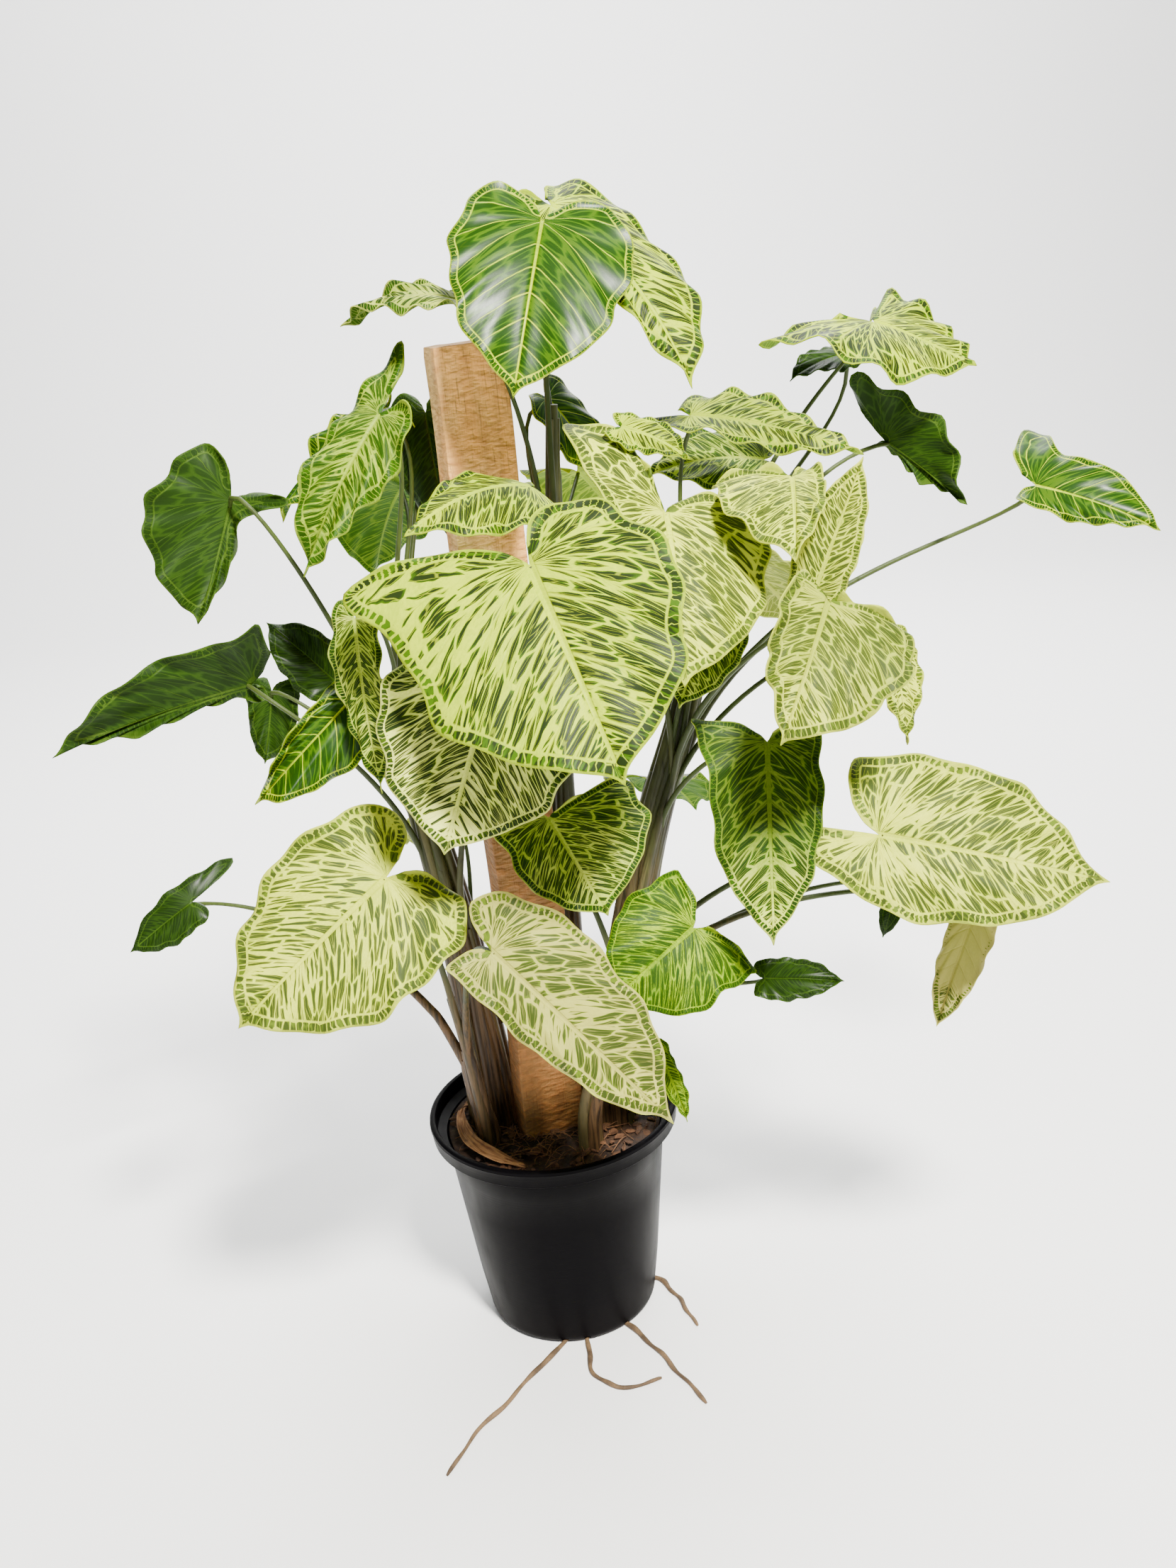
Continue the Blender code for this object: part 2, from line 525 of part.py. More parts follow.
def make_blade(leaf, parts):
    """One leaf blade: a grid bent to the leaf's surface, closed at the joint, and given its thickness."""
    spokes = SPOKES_SMALL if math.dist(leaf[4], leaf[5]) < SMALL_BLADE else SPOKES_LARGE
    points, up, ahead = blade_grid(leaf, spokes, RING_PLACES)
    rows, columns = points.shape[:2]
    bm = bmesh.new()
    grid = bmesh.ops.create_grid(bm, x_segments=columns - 1, y_segments=rows - 1, size=1.0)
    for vert in grid["verts"]:
        column = round((vert.co.x + 1) / 2 * (columns - 1))
        row = round((vert.co.y + 1) / 2 * (rows - 1))
        vert.co = Vector(points[row, column]) * MM
    bmesh.ops.remove_doubles(bm, verts=bm.verts, dist=MERGE)
    bmesh.ops.triangulate(bm, faces=bm.faces, quad_method="SHORT_EDGE")
    bmesh.ops.recalc_face_normals(bm, faces=bm.faces)
    if sum((f.normal * f.calc_area() for f in bm.faces), Vector()).dot(Vector(up)) < 0:
        bmesh.ops.reverse_faces(bm, faces=bm.faces)
    name = f"leaf_{leaf[0]}"
    blade = add_object(name, mesh_from(bm, name), parts, leaf[1])
    shell = blade.modifiers.new("thickness", "SOLIDIFY")
    shell.thickness = BLADE_THICKNESS * MM
    shell.offset = 0.0
    return blade, up, ahead


def petiole_seat(blade, joint, up, ahead, heading):
    """The petiole's last point: backed off from the blade's underside until its round end just clears it."""
    graph = bpy.context.evaluated_depsgraph_get()
    graph.update()
    surface = BVHTree.FromObject(blade, graph)
    heading = Vector(heading)
    ring_x = heading.orthogonal().normalized()
    ring_y = heading.cross(ring_x)
    start = Vector(joint) + Vector(ahead) * SEAT_AHEAD
    for step in range(SEAT_STEPS):
        end = start - heading * (GAP + SEAT_STEP * step)
        rim = [end] + [end + (ring_x * math.cos(a) + ring_y * math.sin(a)) * PETIOLE_END_RADIUS
                       for a in np.linspace(0, math.tau, SEAT_SIDES, endpoint=False)]
        clear = [surface.find_nearest(point * MM)[3] / MM for point in rim]
        if min(clear) > GAP and (end - start).dot(Vector(up)) < 0:
            return end
    return end


def make_stem(name, leaves, blades, parts, shoots):
    """A sheathed stem with its petioles, each curving up from the stem to the joint of its leaf."""
    route, foot_radius, top_radius = STEMS[name]
    foot = [(*route[0][:2], SOIL_TOP - STEM_DEPTH), (*route[0][:2], SOIL_TOP + STEM_STRAIGHT)]
    path = smooth_route([*foot, *route[1:]], STEM_POINTS)
    radii = np.linspace(foot_radius, top_radius, len(path))
    stem = as_mesh(tube(name, path, radii, parts), parts, "stem_skin")
    for leaf in leaves:
        blade, up, ahead = blades[leaf[0]]
        takeoff = np.array([np.interp(leaf[3], path[:, 2], path[:, i]) for i in range(3)])
        heading = up * MEET_UP + ahead * MEET_AHEAD
        heading = heading / np.linalg.norm(heading)
        end = np.array(petiole_seat(blade, leaf[4], up, ahead, heading))
        out = end - takeoff
        span = np.linalg.norm(out)
        rise = np.array([out[0] * PETIOLE_SPREAD, out[1] * PETIOLE_SPREAD, span * PETIOLE_RISE])
        handles = (takeoff, takeoff + rise, end - heading * span * PETIOLE_ARRIVAL, end)
        places = np.linspace(0, 1, PETIOLE_POINTS)[:, None]
        line = (handles[0] * (1 - places) ** 3 + 3 * handles[1] * places * (1 - places) ** 2
                + 3 * handles[2] * places**2 * (1 - places) + handles[3] * places**3)
        widths = np.linspace(PETIOLE_FOOT_RADIUS, PETIOLE_END_RADIUS, PETIOLE_POINTS)
        as_mesh(tube(f"petiole_{leaf[0]}", line, widths, shoots), shoots)
    join = stem.modifiers.new("join", "BOOLEAN")
    join.operation = "UNION"
    join.operand_type = "COLLECTION"
    join.collection = shoots
    join.solver = "EXACT"
    graph = bpy.context.evaluated_depsgraph_get()
    graph.update()
    fused = bpy.data.meshes.new_from_object(stem.evaluated_get(graph), depsgraph=graph)
    stem.modifiers.clear()
    stem.data = fused
    for shoot in list(shoots.objects):
        bpy.data.objects.remove(shoot, do_unlink=True)
    return stem


def make_root(name, route, parts):
    """A root that leaves the pot's base through its notch and lies along the floor."""
    flat = smooth_route(route, ROOT_POINTS)
    radii = np.linspace(ROOT_RADIUS, ROOT_RADIUS * ROOT_TAPER, len(flat))
    points = [(x, y, r + ROOT_LIFT) for (x, y), r in zip(flat, radii)]
    return as_mesh(tube(name, points, radii, parts), parts, "root_skin")


def make_sheath(parts):
    """A dry, curled sheath that has fallen on the soil, left of the stems."""
    bm = bmesh.new()
    grid = bmesh.ops.create_grid(bm, x_segments=SHEATH_GRID[0], y_segments=SHEATH_GRID[1], size=1.0)
    for vert in grid["verts"]:
        along, across = vert.co.x, vert.co.y
        turn = math.radians(SHEATH_MIDDLE + SHEATH_SPAN * along)
        reach = SHEATH_RADIUS - SHEATH_HALF_WIDTH * across * (1 - 0.6 * along**2)
        arch = (SHEATH_ARCH + SHEATH_CURL * across**2) * (1 - along**2)
        height = SOIL_TOP + GAP + BLADE_THICKNESS / 2 + arch
        vert.co = Vector((reach * math.cos(turn), reach * math.sin(turn), height)) * MM
    bmesh.ops.triangulate(bm, faces=bm.faces, quad_method="SHORT_EDGE")
    sheath = add_object("dry_sheath", mesh_from(bm, "dry_sheath"), parts, "dry_sheath")
    shell = sheath.modifiers.new("thickness", "SOLIDIFY")
    shell.thickness = BLADE_THICKNESS * MM
    shell.offset = 0.0
    return sheath


def main():
    """Builds the whole plant in its pot."""
    clear_scene()
    parts = new_collection("potted_batik_syngonium")
    cutters = new_collection("cutters", hidden=True)
    shoots = new_collection("shoots", hidden=True)
    make_pot(parts, cutters)
    make_stake(parts)
    make_soil(parts, cutters)
    make_sheath(parts)
    blades = {leaf[0]: make_blade(leaf, parts) for leaf in LEAVES}
    for name in STEMS:
        make_stem(name, [leaf for leaf in LEAVES if leaf[2] == name], blades, parts, shoots)
    for name, route in ROOTS.items():
        make_root(name, route, parts)


main()
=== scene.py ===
# %% [markdown]
# # A potted batik syngonium
# The plant is an arrow-leaved climber whose blades carry a net of pale veins, like wax-resist cloth.
# It stands in a black nursery pot with one wooden stake. The measured solids come first, as a frame:
# every finer piece below takes the place of one of them and keeps its form.

# %% Load the measured solids
import json
import math
import random

import bpy
import numpy as np
from mathutils import Matrix, Vector

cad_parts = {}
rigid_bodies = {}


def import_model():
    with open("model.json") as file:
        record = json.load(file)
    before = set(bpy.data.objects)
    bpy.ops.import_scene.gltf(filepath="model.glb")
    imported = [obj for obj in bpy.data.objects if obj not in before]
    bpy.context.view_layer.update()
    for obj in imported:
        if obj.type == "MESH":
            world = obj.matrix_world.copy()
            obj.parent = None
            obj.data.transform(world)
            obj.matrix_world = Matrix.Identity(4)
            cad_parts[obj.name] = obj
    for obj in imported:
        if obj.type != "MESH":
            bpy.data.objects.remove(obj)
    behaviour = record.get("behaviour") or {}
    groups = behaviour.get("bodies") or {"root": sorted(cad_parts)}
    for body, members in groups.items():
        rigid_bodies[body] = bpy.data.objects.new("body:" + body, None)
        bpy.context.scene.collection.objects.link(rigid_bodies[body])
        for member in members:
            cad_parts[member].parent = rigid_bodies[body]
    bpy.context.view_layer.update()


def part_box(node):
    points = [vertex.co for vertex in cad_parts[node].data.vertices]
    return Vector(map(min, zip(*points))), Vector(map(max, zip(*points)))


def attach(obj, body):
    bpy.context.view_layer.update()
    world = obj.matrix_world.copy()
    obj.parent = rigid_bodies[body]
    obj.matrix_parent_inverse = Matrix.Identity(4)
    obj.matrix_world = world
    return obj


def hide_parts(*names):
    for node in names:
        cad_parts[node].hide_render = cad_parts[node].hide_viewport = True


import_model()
MM = 0.001

# %% [markdown]
# ## The camera
# The picture was taken from a little above the soil line's far side, looking down by a fifth of a right
# angle, and the camera was slightly rolled. The camera could be aimed with a constraint, but a fixed turn
# keeps the roll exact: first the tilt about X, then the roll about the line of sight.

# %% Camera
CAMERA_PLACE = (0.050, -1.020, 0.788)
CAMERA_TILT = math.radians(90 - 19.5)
CAMERA_ROLL = math.radians(-5.5)
bpy.ops.object.camera_add(location=CAMERA_PLACE)
camera = bpy.context.object
camera.name = "camera"
camera.rotation_euler = (Matrix.Rotation(CAMERA_TILT, 3, "X") @ Matrix.Rotation(CAMERA_ROLL, 3, "Z")).to_euler()
camera.data.sensor_width = 36.0
camera.data.lens = 35.0
bpy.context.scene.camera = camera
print("camera looks from", CAMERA_PLACE)

# %% [markdown]
# ## Studio
# A pale sheet lies under the pot and curves up behind it, so that no horizon shows. It could be two
# planes, but one plane with its back edge extruded up and the corner bevelled has no visible seam.
# A large key light stands high in front, as the sun does in the picture, and two wide ones fill in.

# %% Floor and lights
STAGE_SIZE = 8.0
WALL_HEIGHT = 4.0
CORNER_RADIUS = 1.5


def only_select(*objects):
    """Leaves just these objects selected, with the last one active."""
    bpy.ops.object.select_all(action="DESELECT")
    for item in objects:
        item.select_set(True)
        bpy.context.view_layer.objects.active = item


only_select()
bpy.ops.mesh.primitive_plane_add(size=STAGE_SIZE, location=(0, 0, 0))
floor = bpy.context.object
floor.name = "floor"
for edge in floor.data.edges:
    edge.select = all(floor.data.vertices[i].co.y > 0 for i in edge.vertices)
for face in floor.data.polygons:
    face.select = False
for vert in floor.data.vertices:
    vert.select = vert.co.y > 0
bpy.ops.object.mode_set(mode="EDIT")
bpy.ops.mesh.extrude_region_move(TRANSFORM_OT_translate={"value": (0, 0, WALL_HEIGHT)})
bpy.ops.object.mode_set(mode="OBJECT")
for edge in floor.data.edges:
    ends = [floor.data.vertices[i].co for i in edge.vertices]
    edge.select = all(end.y > 0 and end.z < MM for end in ends)
bpy.ops.object.mode_set(mode="EDIT")
bpy.ops.mesh.select_mode(type="EDGE")
bpy.ops.mesh.bevel(offset=CORNER_RADIUS, segments=24)
bpy.ops.mesh.select_mode(type="VERT")
bpy.ops.object.mode_set(mode="OBJECT")
bpy.ops.object.shade_smooth()


def area_light(name, place, target, size, watts, colour):
    """A square light at a place, turned to face a target."""
    bpy.ops.object.light_add(type="AREA", location=place)
    light = bpy.context.object
    light.name = name
    light.data.size = size
    light.data.energy = watts
    light.data.color = colour
    aim = Vector(target) - Vector(place)
    light.rotation_euler = aim.to_track_quat("-Z", "Y").to_euler()
    return light


area_light("key", (0.60, -1.50, 2.35), (0, 0, 0.45), 0.36, 262, (1.0, 0.97, 0.91))
area_light("fill_left", (-1.9, -1.4, 1.1), (0, 0, 0.4), 1.6, 8, (0.95, 0.98, 1.0))
area_light("fill_back", (0.9, 2.0, 1.9), (0, 0, 0.4), 1.6, 30, (1.0, 1.0, 1.0))
area_light("backdrop", (0, 1.3, 2.5), (0, 3.2, 0.4), 1.6, 230, (1.0, 1.0, 1.0))
world = bpy.data.worlds.new("studio")
world.use_nodes = True
world.node_tree.nodes["Background"].inputs["Color"].default_value = (0.95, 0.97, 1.0, 1.0)
world.node_tree.nodes["Background"].inputs["Strength"].default_value = 0.24
bpy.context.scene.world = world
print("four lights and a floor", STAGE_SIZE, "m wide")

# %% [markdown]
# ## Writing materials as sums
# A material is a graph of small nodes. Placing each by hand takes a page, so one class wraps a socket and
# gives it Python's operators: `1 - mask` then adds a Math node by itself. Any other node comes from one
# method that takes its type, its settings, and the values or links of its sockets.

# %% A shader that reads like arithmetic
class Socket:
    """An output in a material. Arithmetic on it adds Math nodes."""

    def __init__(self, shader, port):
        self.shader = shader
        self.port = port

    def maths(self, operation, *others):
        return self.shader.node("Math", {"operation": operation}, dict(enumerate((self, *others))))

    def __add__(self, other):
        return self.maths("ADD", other)

    def __sub__(self, other):
        return self.maths("SUBTRACT", other)

    def __rsub__(self, other):
        return self.shader.node("Math", {"operation": "SUBTRACT"}, {0: other, 1: self})

    def __mul__(self, other):
        return self.maths("MULTIPLY", other)

    def __truediv__(self, other):
        return self.maths("DIVIDE", other)

    __radd__ = __add__
    __rmul__ = __mul__

    def step(self, low, high):
        """0 below low and 1 above high, smoothly. With low above high it falls instead."""
        return self.shader.node("MapRange", {"interpolation_type": "SMOOTHSTEP"},
                                {0: self, 1: low, 2: high, 3: 0.0, 4: 1.0})


class Shader:
    """A new material round one Principled surface."""

    def __init__(self, name, roughness=0.5):
        self.material = bpy.data.materials.new(name)
        self.material.use_nodes = True
        self.tree = self.material.node_tree
        self.surface = self.tree.nodes["Principled BSDF"]
        self.surface.inputs["Roughness"].default_value = roughness

    def feed(self, socket, value):
        """Sets a socket to a value, or links it to another node."""
        if isinstance(value, Socket):
            self.tree.links.new(value.port, socket)
        elif socket.type == "RGBA":
            socket.default_value = (*value, 1.0)
        else:
            socket.default_value = value

    def node(self, kind, settings, inputs, output=0):
        """Adds a node: its settings first, then a value or a link for each socket."""
        made = self.tree.nodes.new("ShaderNode" + kind)
        for key, value in settings.items():
            setattr(made, key, value)
        for key, value in inputs.items():
            self.feed(made.inputs[key], value)
        return Socket(self, made.outputs[output])

    def split(self, vector):
        """The three numbers of a vector."""
        return [self.node("SeparateXYZ", {}, {0: vector}, axis) for axis in range(3)]

    def attribute(self, name):
        """The three numbers stored on each vertex under a name."""
        return self.split(self.node("Attribute", {"attribute_name": name}, {}, 1))

    def place(self):
        """Where the surface is, in metres, as a vector."""
        return self.node("TexCoord", {}, {}, 3)

    def vector(self, x, y, z=0.0):
        return self.node("CombineXYZ", {}, {0: x, 1: y, 2: z})

    def noise(self, vector, detail=2.0, scale=1.0):
        """Soft noise from 0 to 1, mostly near a half."""
        return self.node("TexNoise", {}, {"Vector": vector, "Scale": scale, "Detail": detail})

    def blend(self, factor, first, second):
        """One colour where the factor is 0 and another where it is 1."""
        return self.node("Mix", {"data_type": "RGBA"}, {0: factor, 6: first, 7: second}, 2)

    def finish(self, colour, roughness=None, height=None, depth=0.001, strength=0.6):
        """Feeds the surface its colour, and where given its roughness and its relief."""
        self.feed(self.surface.inputs["Base Color"], colour)
        if roughness is not None:
            self.feed(self.surface.inputs["Roughness"], roughness)
        if height is not None:
            bump = self.node("Bump", {}, {"Height": height, "Distance": depth, "Strength": strength})
            self.feed(self.surface.inputs["Normal"], bump)
        return self.material


print("shader arithmetic ready")

# %% [markdown]
# The floor is plain and pale. A trace of noise in its roughness stops it from looking like paper.

# %% Floor finish
def floor_finish():
    """Pale matte studio floor."""
    shader = Shader("studio_floor")
    grain = shader.noise(shader.place(), 3.0, 9.0)
    return shader.finish((0.92, 0.92, 0.915), grain * 0.1 + 0.6)


floor.data.materials.append(floor_finish())
print("floor finished")

# %% [markdown]
# ## Shared ways of making pieces
# Every piece ends as one mesh at the origin that rides on the plant's only body. These helpers finish a
# piece, draw a tapered tube along a route, and read a smooth curve through a few given points.
# A tube is a curve with a round bevel, as by hand, and is then converted to a mesh.

# %% Helpers for pieces
def finish_piece(piece, name, material, node):
    """Names a piece, gives it its material, and lets it stand for a solid."""
    piece.name = name
    piece.data.name = name
    if material is not None:
        piece.data.materials.clear()
        piece.data.materials.append(material)
    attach(piece, "root")
    if node:
        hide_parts(node)
    return piece


def join_pieces(pieces):
    """Joins objects into the first of them."""
    only_select(*pieces[1:], pieces[0])
    bpy.ops.object.join()
    return bpy.context.object


def store(mesh, name, values):
    """Keeps three numbers on each vertex of a mesh, for its material."""
    layer = mesh.attributes.new(name, "FLOAT_VECTOR", "POINT")
    layer.data.foreach_set("vector", np.ascontiguousarray(values, np.float32).ravel())


def smooth_route(knots, count):
    """A smooth curve through the knots, read at evenly spaced places."""
    knots = np.array(knots, float)
    ends = np.vstack([2 * knots[0] - knots[1], knots, 2 * knots[-1] - knots[-2]])
    pieces = []
    for k in range(1, len(ends) - 2):
        before, start, end, after = ends[k - 1 : k + 3]
        for t in np.linspace(0, 1, 16, endpoint=False):
            pieces.append(0.5 * (2 * start + (end - before) * t
                                 + (2 * before - 5 * start + 4 * end - after) * t**2
                                 + (3 * start - before - 3 * end + after) * t**3))
    pieces.append(knots[-1])
    fine = np.array(pieces)
    along = np.concatenate([[0.0], np.cumsum(np.linalg.norm(np.diff(fine, axis=0), axis=1))])
    wanted = np.linspace(0, along[-1], count)
    return np.stack([np.interp(wanted, along, fine[:, i]) for i in range(fine.shape[1])], -1)


def tube(points, radii, smoothness=3, mark=0.0, tone=0.0):
    """A tapered tube through points in millimetres, which keeps how far along it each vertex is."""
    only_select()
    bpy.ops.curve.primitive_bezier_curve_add(location=(0, 0, 0))
    made = bpy.context.object
    made.data.splines.clear()
    made.data.bevel_depth = MM
    made.data.bevel_resolution = smoothness
    made.data.use_fill_caps = True
    line = made.data.splines.new("POLY")
    line.points.add(len(points) - 1)
    for dot, place, radius in zip(line.points, points, radii):
        dot.co = (*(c * MM for c in place), 1.0)
        dot.radius = radius
    bpy.ops.object.convert(target="MESH")
    made = bpy.context.object
    around = len(made.data.vertices) // len(points)
    ring = np.clip(np.arange(len(made.data.vertices)) // around / (len(points) - 1), 0, 1)
    store(made.data, "stalk", np.stack([ring, ring * 0 + mark, ring * 0 + tone], -1))
    bpy.ops.object.shade_smooth()
    return made


print("helpers ready")

# %% [markdown]
# ## The pot
# A blow-moulded nursery pot is one thin black wall: a tapered body, an overhanging lip, and a base with a
# moulded channel that holds the drain holes. It could be a Screw modifier on a profile. Here the profile
# is drawn by extruding one point from stop to stop, and `spin` sweeps it round, which is the quickest way
# by hand. The lip's edges and the moulding steps are stops of their own, so they catch the light.

# %% Pot sizes
POT_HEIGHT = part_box("pot")[1].z / MM
RIM_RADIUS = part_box("pot")[1].x / MM
LIP_HEIGHT = 14.0
BODY_TOP_RADIUS = 84.0
BASE_RADIUS = 66.0
WALL = 2.0
CHANNEL_IN = 45.0
CHANNEL_OUT = 57.5
CHANNEL_HEIGHT = 4.2
FLOOR_THICKNESS = 3.0
POT_STEPS = 144
DRAIN_HOLES = 6
DRAIN_RADIUS = 4.5
NOTCH_LENGTH = 34.0
NOTCH_WIDTH = 4.8
NOTCH_HEIGHT = 4.6
UNDER_LIP = POT_HEIGHT - LIP_HEIGHT
# where each root runs on the floor, from under the pot outwards
ROOTS = {
    "root_left_front": ((-4, -50), (-7, -62), (-24, -84), (-38, -104), (-56, -128), (-74, -152), (-92, -187)),
    "root_curl_front": ((7, -50), (9, -62), (10, -84), (14, -104), (28, -117), (46, -118), (62, -112)),
    "root_right_front": ((31, -39), (39, -49), (54, -70), (66, -92), (80, -118), (92, -142)),
    "root_right_side": ((48, 6), (58, 3), (68, 0), (78, -15), (86, -36), (94, -59)),
}


def wall_radius(height):
    """Outer radius of the pot's body at a height."""
    return BASE_RADIUS + (BODY_TOP_RADIUS - BASE_RADIUS) * height / UNDER_LIP


INNER_FLOOR = CHANNEL_HEIGHT + FLOOR_THICKNESS
corner = [(BASE_RADIUS - 6.0 * (1 - math.sin(a)), 9.0 * (1 - math.cos(a)))
          for a in np.radians((0, 15, 30, 45, 60, 75, 90))]
pot_profile = [
    (0, 0), (CHANNEL_IN - 0.6, 0), (CHANNEL_IN, 0.4), (CHANNEL_IN + 0.8, CHANNEL_HEIGHT),
    (CHANNEL_OUT - 0.8, CHANNEL_HEIGHT), (CHANNEL_OUT, 0.4), *corner,
    (wall_radius(40), 40), (wall_radius(110), 110), (wall_radius(138), 138), (wall_radius(138) + 0.5, 138.8),
    (BODY_TOP_RADIUS + 0.3, UNDER_LIP - 0.8), (BODY_TOP_RADIUS + 1.1, UNDER_LIP),
    (RIM_RADIUS - 2.1, UNDER_LIP), (RIM_RADIUS - 1.5, UNDER_LIP + 0.6),
    (RIM_RADIUS - 0.5, POT_HEIGHT - 4.2), (RIM_RADIUS, POT_HEIGHT - 3.4), (RIM_RADIUS - 0.3, POT_HEIGHT - 1.2),
    (RIM_RADIUS - 1.4, POT_HEIGHT - 0.2), (RIM_RADIUS - 2.6, POT_HEIGHT), (RIM_RADIUS - 4.2, POT_HEIGHT - 0.3),
    (RIM_RADIUS - 5.0, POT_HEIGHT - 1.4), (RIM_RADIUS - 5.6, UNDER_LIP + 3.0),
    (BODY_TOP_RADIUS - WALL + 1.0, UNDER_LIP + 0.6), (BODY_TOP_RADIUS - WALL, UNDER_LIP - 2.0),
    (wall_radius(14) - WALL, 14), (BASE_RADIUS - 8.0, INNER_FLOOR), (0, INNER_FLOOR),
]
print("pot", POT_HEIGHT, "mm high,", 2 * RIM_RADIUS, "mm across the lip")

# %% Pot shape
def spun(name, profile, steps):
    """A body turned from a profile of radius and height, in millimetres."""
    only_select()
    bpy.ops.mesh.primitive_plane_add(size=MM, location=(0, 0, 0))
    body = bpy.context.object
    body.name = name
    bpy.ops.object.mode_set(mode="EDIT")
    bpy.ops.mesh.merge(type="CENTER")
    bpy.ops.transform.translate(value=(profile[0][0] * MM, 0, profile[0][1] * MM))
    for before, after in zip(profile, profile[1:]):
        move = ((after[0] - before[0]) * MM, 0, (after[1] - before[1]) * MM)
        bpy.ops.mesh.extrude_region_move(TRANSFORM_OT_translate={"value": move})
    bpy.ops.mesh.select_all(action="SELECT")
    bpy.ops.mesh.spin(steps=steps, angle=math.tau, center=(0, 0, 0), axis=(0, 0, 1))
    bpy.ops.mesh.select_all(action="SELECT")
    bpy.ops.mesh.remove_doubles(threshold=0.00002)
    bpy.ops.mesh.normals_make_consistent(inside=False)
    bpy.ops.object.mode_set(mode="OBJECT")
    return body


def carve(body, cutters):
    """Cuts each cutter out of a body, and removes the cutters."""
    for cutter in cutters:
        only_select(body)
        step = body.modifiers.new("cut", "BOOLEAN")
        step.object = cutter
        step.solver = "EXACT"
        bpy.ops.object.modifier_apply(modifier=step.name)
        bpy.data.objects.remove(cutter, do_unlink=True)
    return body


pot = spun("nursery_pot", pot_profile, POT_STEPS)
holes = []
for index in range(DRAIN_HOLES):
    angle = math.tau * (index + 0.3) / DRAIN_HOLES
    middle = (CHANNEL_IN + CHANNEL_OUT) / 2 * MM
    only_select()
    bpy.ops.mesh.primitive_cylinder_add(vertices=24, radius=DRAIN_RADIUS * MM, depth=0.03,
                                        location=(middle * math.cos(angle), middle * math.sin(angle), 0.01))
    holes.append(bpy.context.object)
for route in ROOTS.values():
    inner, outer = Vector(route[0]), Vector(route[1])
    along = (outer - inner).normalized()
    middle = inner + along * (NOTCH_LENGTH / 2 - 1.0)
    only_select()
    bpy.ops.mesh.primitive_cube_add(size=1.0, location=(0, 0, 0))
    bpy.ops.object.mode_set(mode="EDIT")
    bpy.ops.transform.resize(value=(NOTCH_LENGTH * MM, NOTCH_WIDTH * MM, 2 * NOTCH_HEIGHT * MM))
    bpy.ops.transform.rotate(value=-math.atan2(along.y, along.x), orient_axis="Z", center_override=(0, 0, 0))
    bpy.ops.transform.translate(value=(middle.x * MM, middle.y * MM, 0))
    bpy.ops.object.mode_set(mode="OBJECT")
    holes.append(bpy.context.object)
pot = carve(pot, holes)
print("pot faces:", len(pot.data.polygons))

# %% [markdown]
# The plastic is black and satin. The mould left faint level rings, the wall is dusted near the ground, and
# long use has put soft scratches on it, so its roughness changes more than its colour.

# %% Pot finish
def pot_finish():
    """Black satin plastic with faint mould rings, dust and scuffs."""
    shader = Shader("black_plastic", 0.42)
    place = shader.place()
    x, y, z = shader.split(place)
    rings = shader.noise(shader.vector(0.0, 0.0, z), 2.0, 900.0)
    scuffs = shader.noise(shader.vector(x, y, z * 0.3), 6.0, 70.0)
    dust = shader.noise(place, 5.0, 160.0) * z.step(0.05, 0.0) + scuffs.step(0.56, 0.75) * 0.25
    colour = shader.blend(dust * 0.10, (0.0014, 0.0012, 0.0017), (0.030, 0.022, 0.017))
    shader.surface.inputs["Specular IOR Level"].default_value = 0.03
    rough = scuffs * 0.22 + 0.27 + dust * 0.2
    return shader.finish(colour, rough, rings + scuffs * 0.5, 0.0002, 0.35)


only_select(pot)
bpy.ops.object.shade_smooth_by_angle(angle=math.radians(38))
finish_piece(pot, "nursery_pot", pot_finish(), "pot")
print("pot finished")

# %% [markdown]
# ## The soil
# The root ball is coir: brown husk chips and fibres, pressed level below the lip. Its surface starts as a
# disc that is inset ring by ring and then raised by smooth random bumps. The chips are one rough flake,
# copied a few hundred times at seeded places, and the fibres are thin curved tubes.

# %% Soil body
SOIL_TOP = 160.0
SOIL_RADIUS = BODY_TOP_RADIUS - WALL - 0.7
SOIL_RINGS = 26
SOIL_BUMPS = 2.6
draw = random.Random(41)


def bumps(x, y, scale, seed):
    """Smooth pseudo-random height over a plane, from -1 to 1."""
    total = np.zeros_like(np.asarray(x, float))
    for k in range(1, 5):
        turn = seed * 2.4 + k * 1.9
        total = total + np.sin((x * math.cos(turn) + y * math.sin(turn)) * k / scale + seed * k) / k
    return total / 2.0


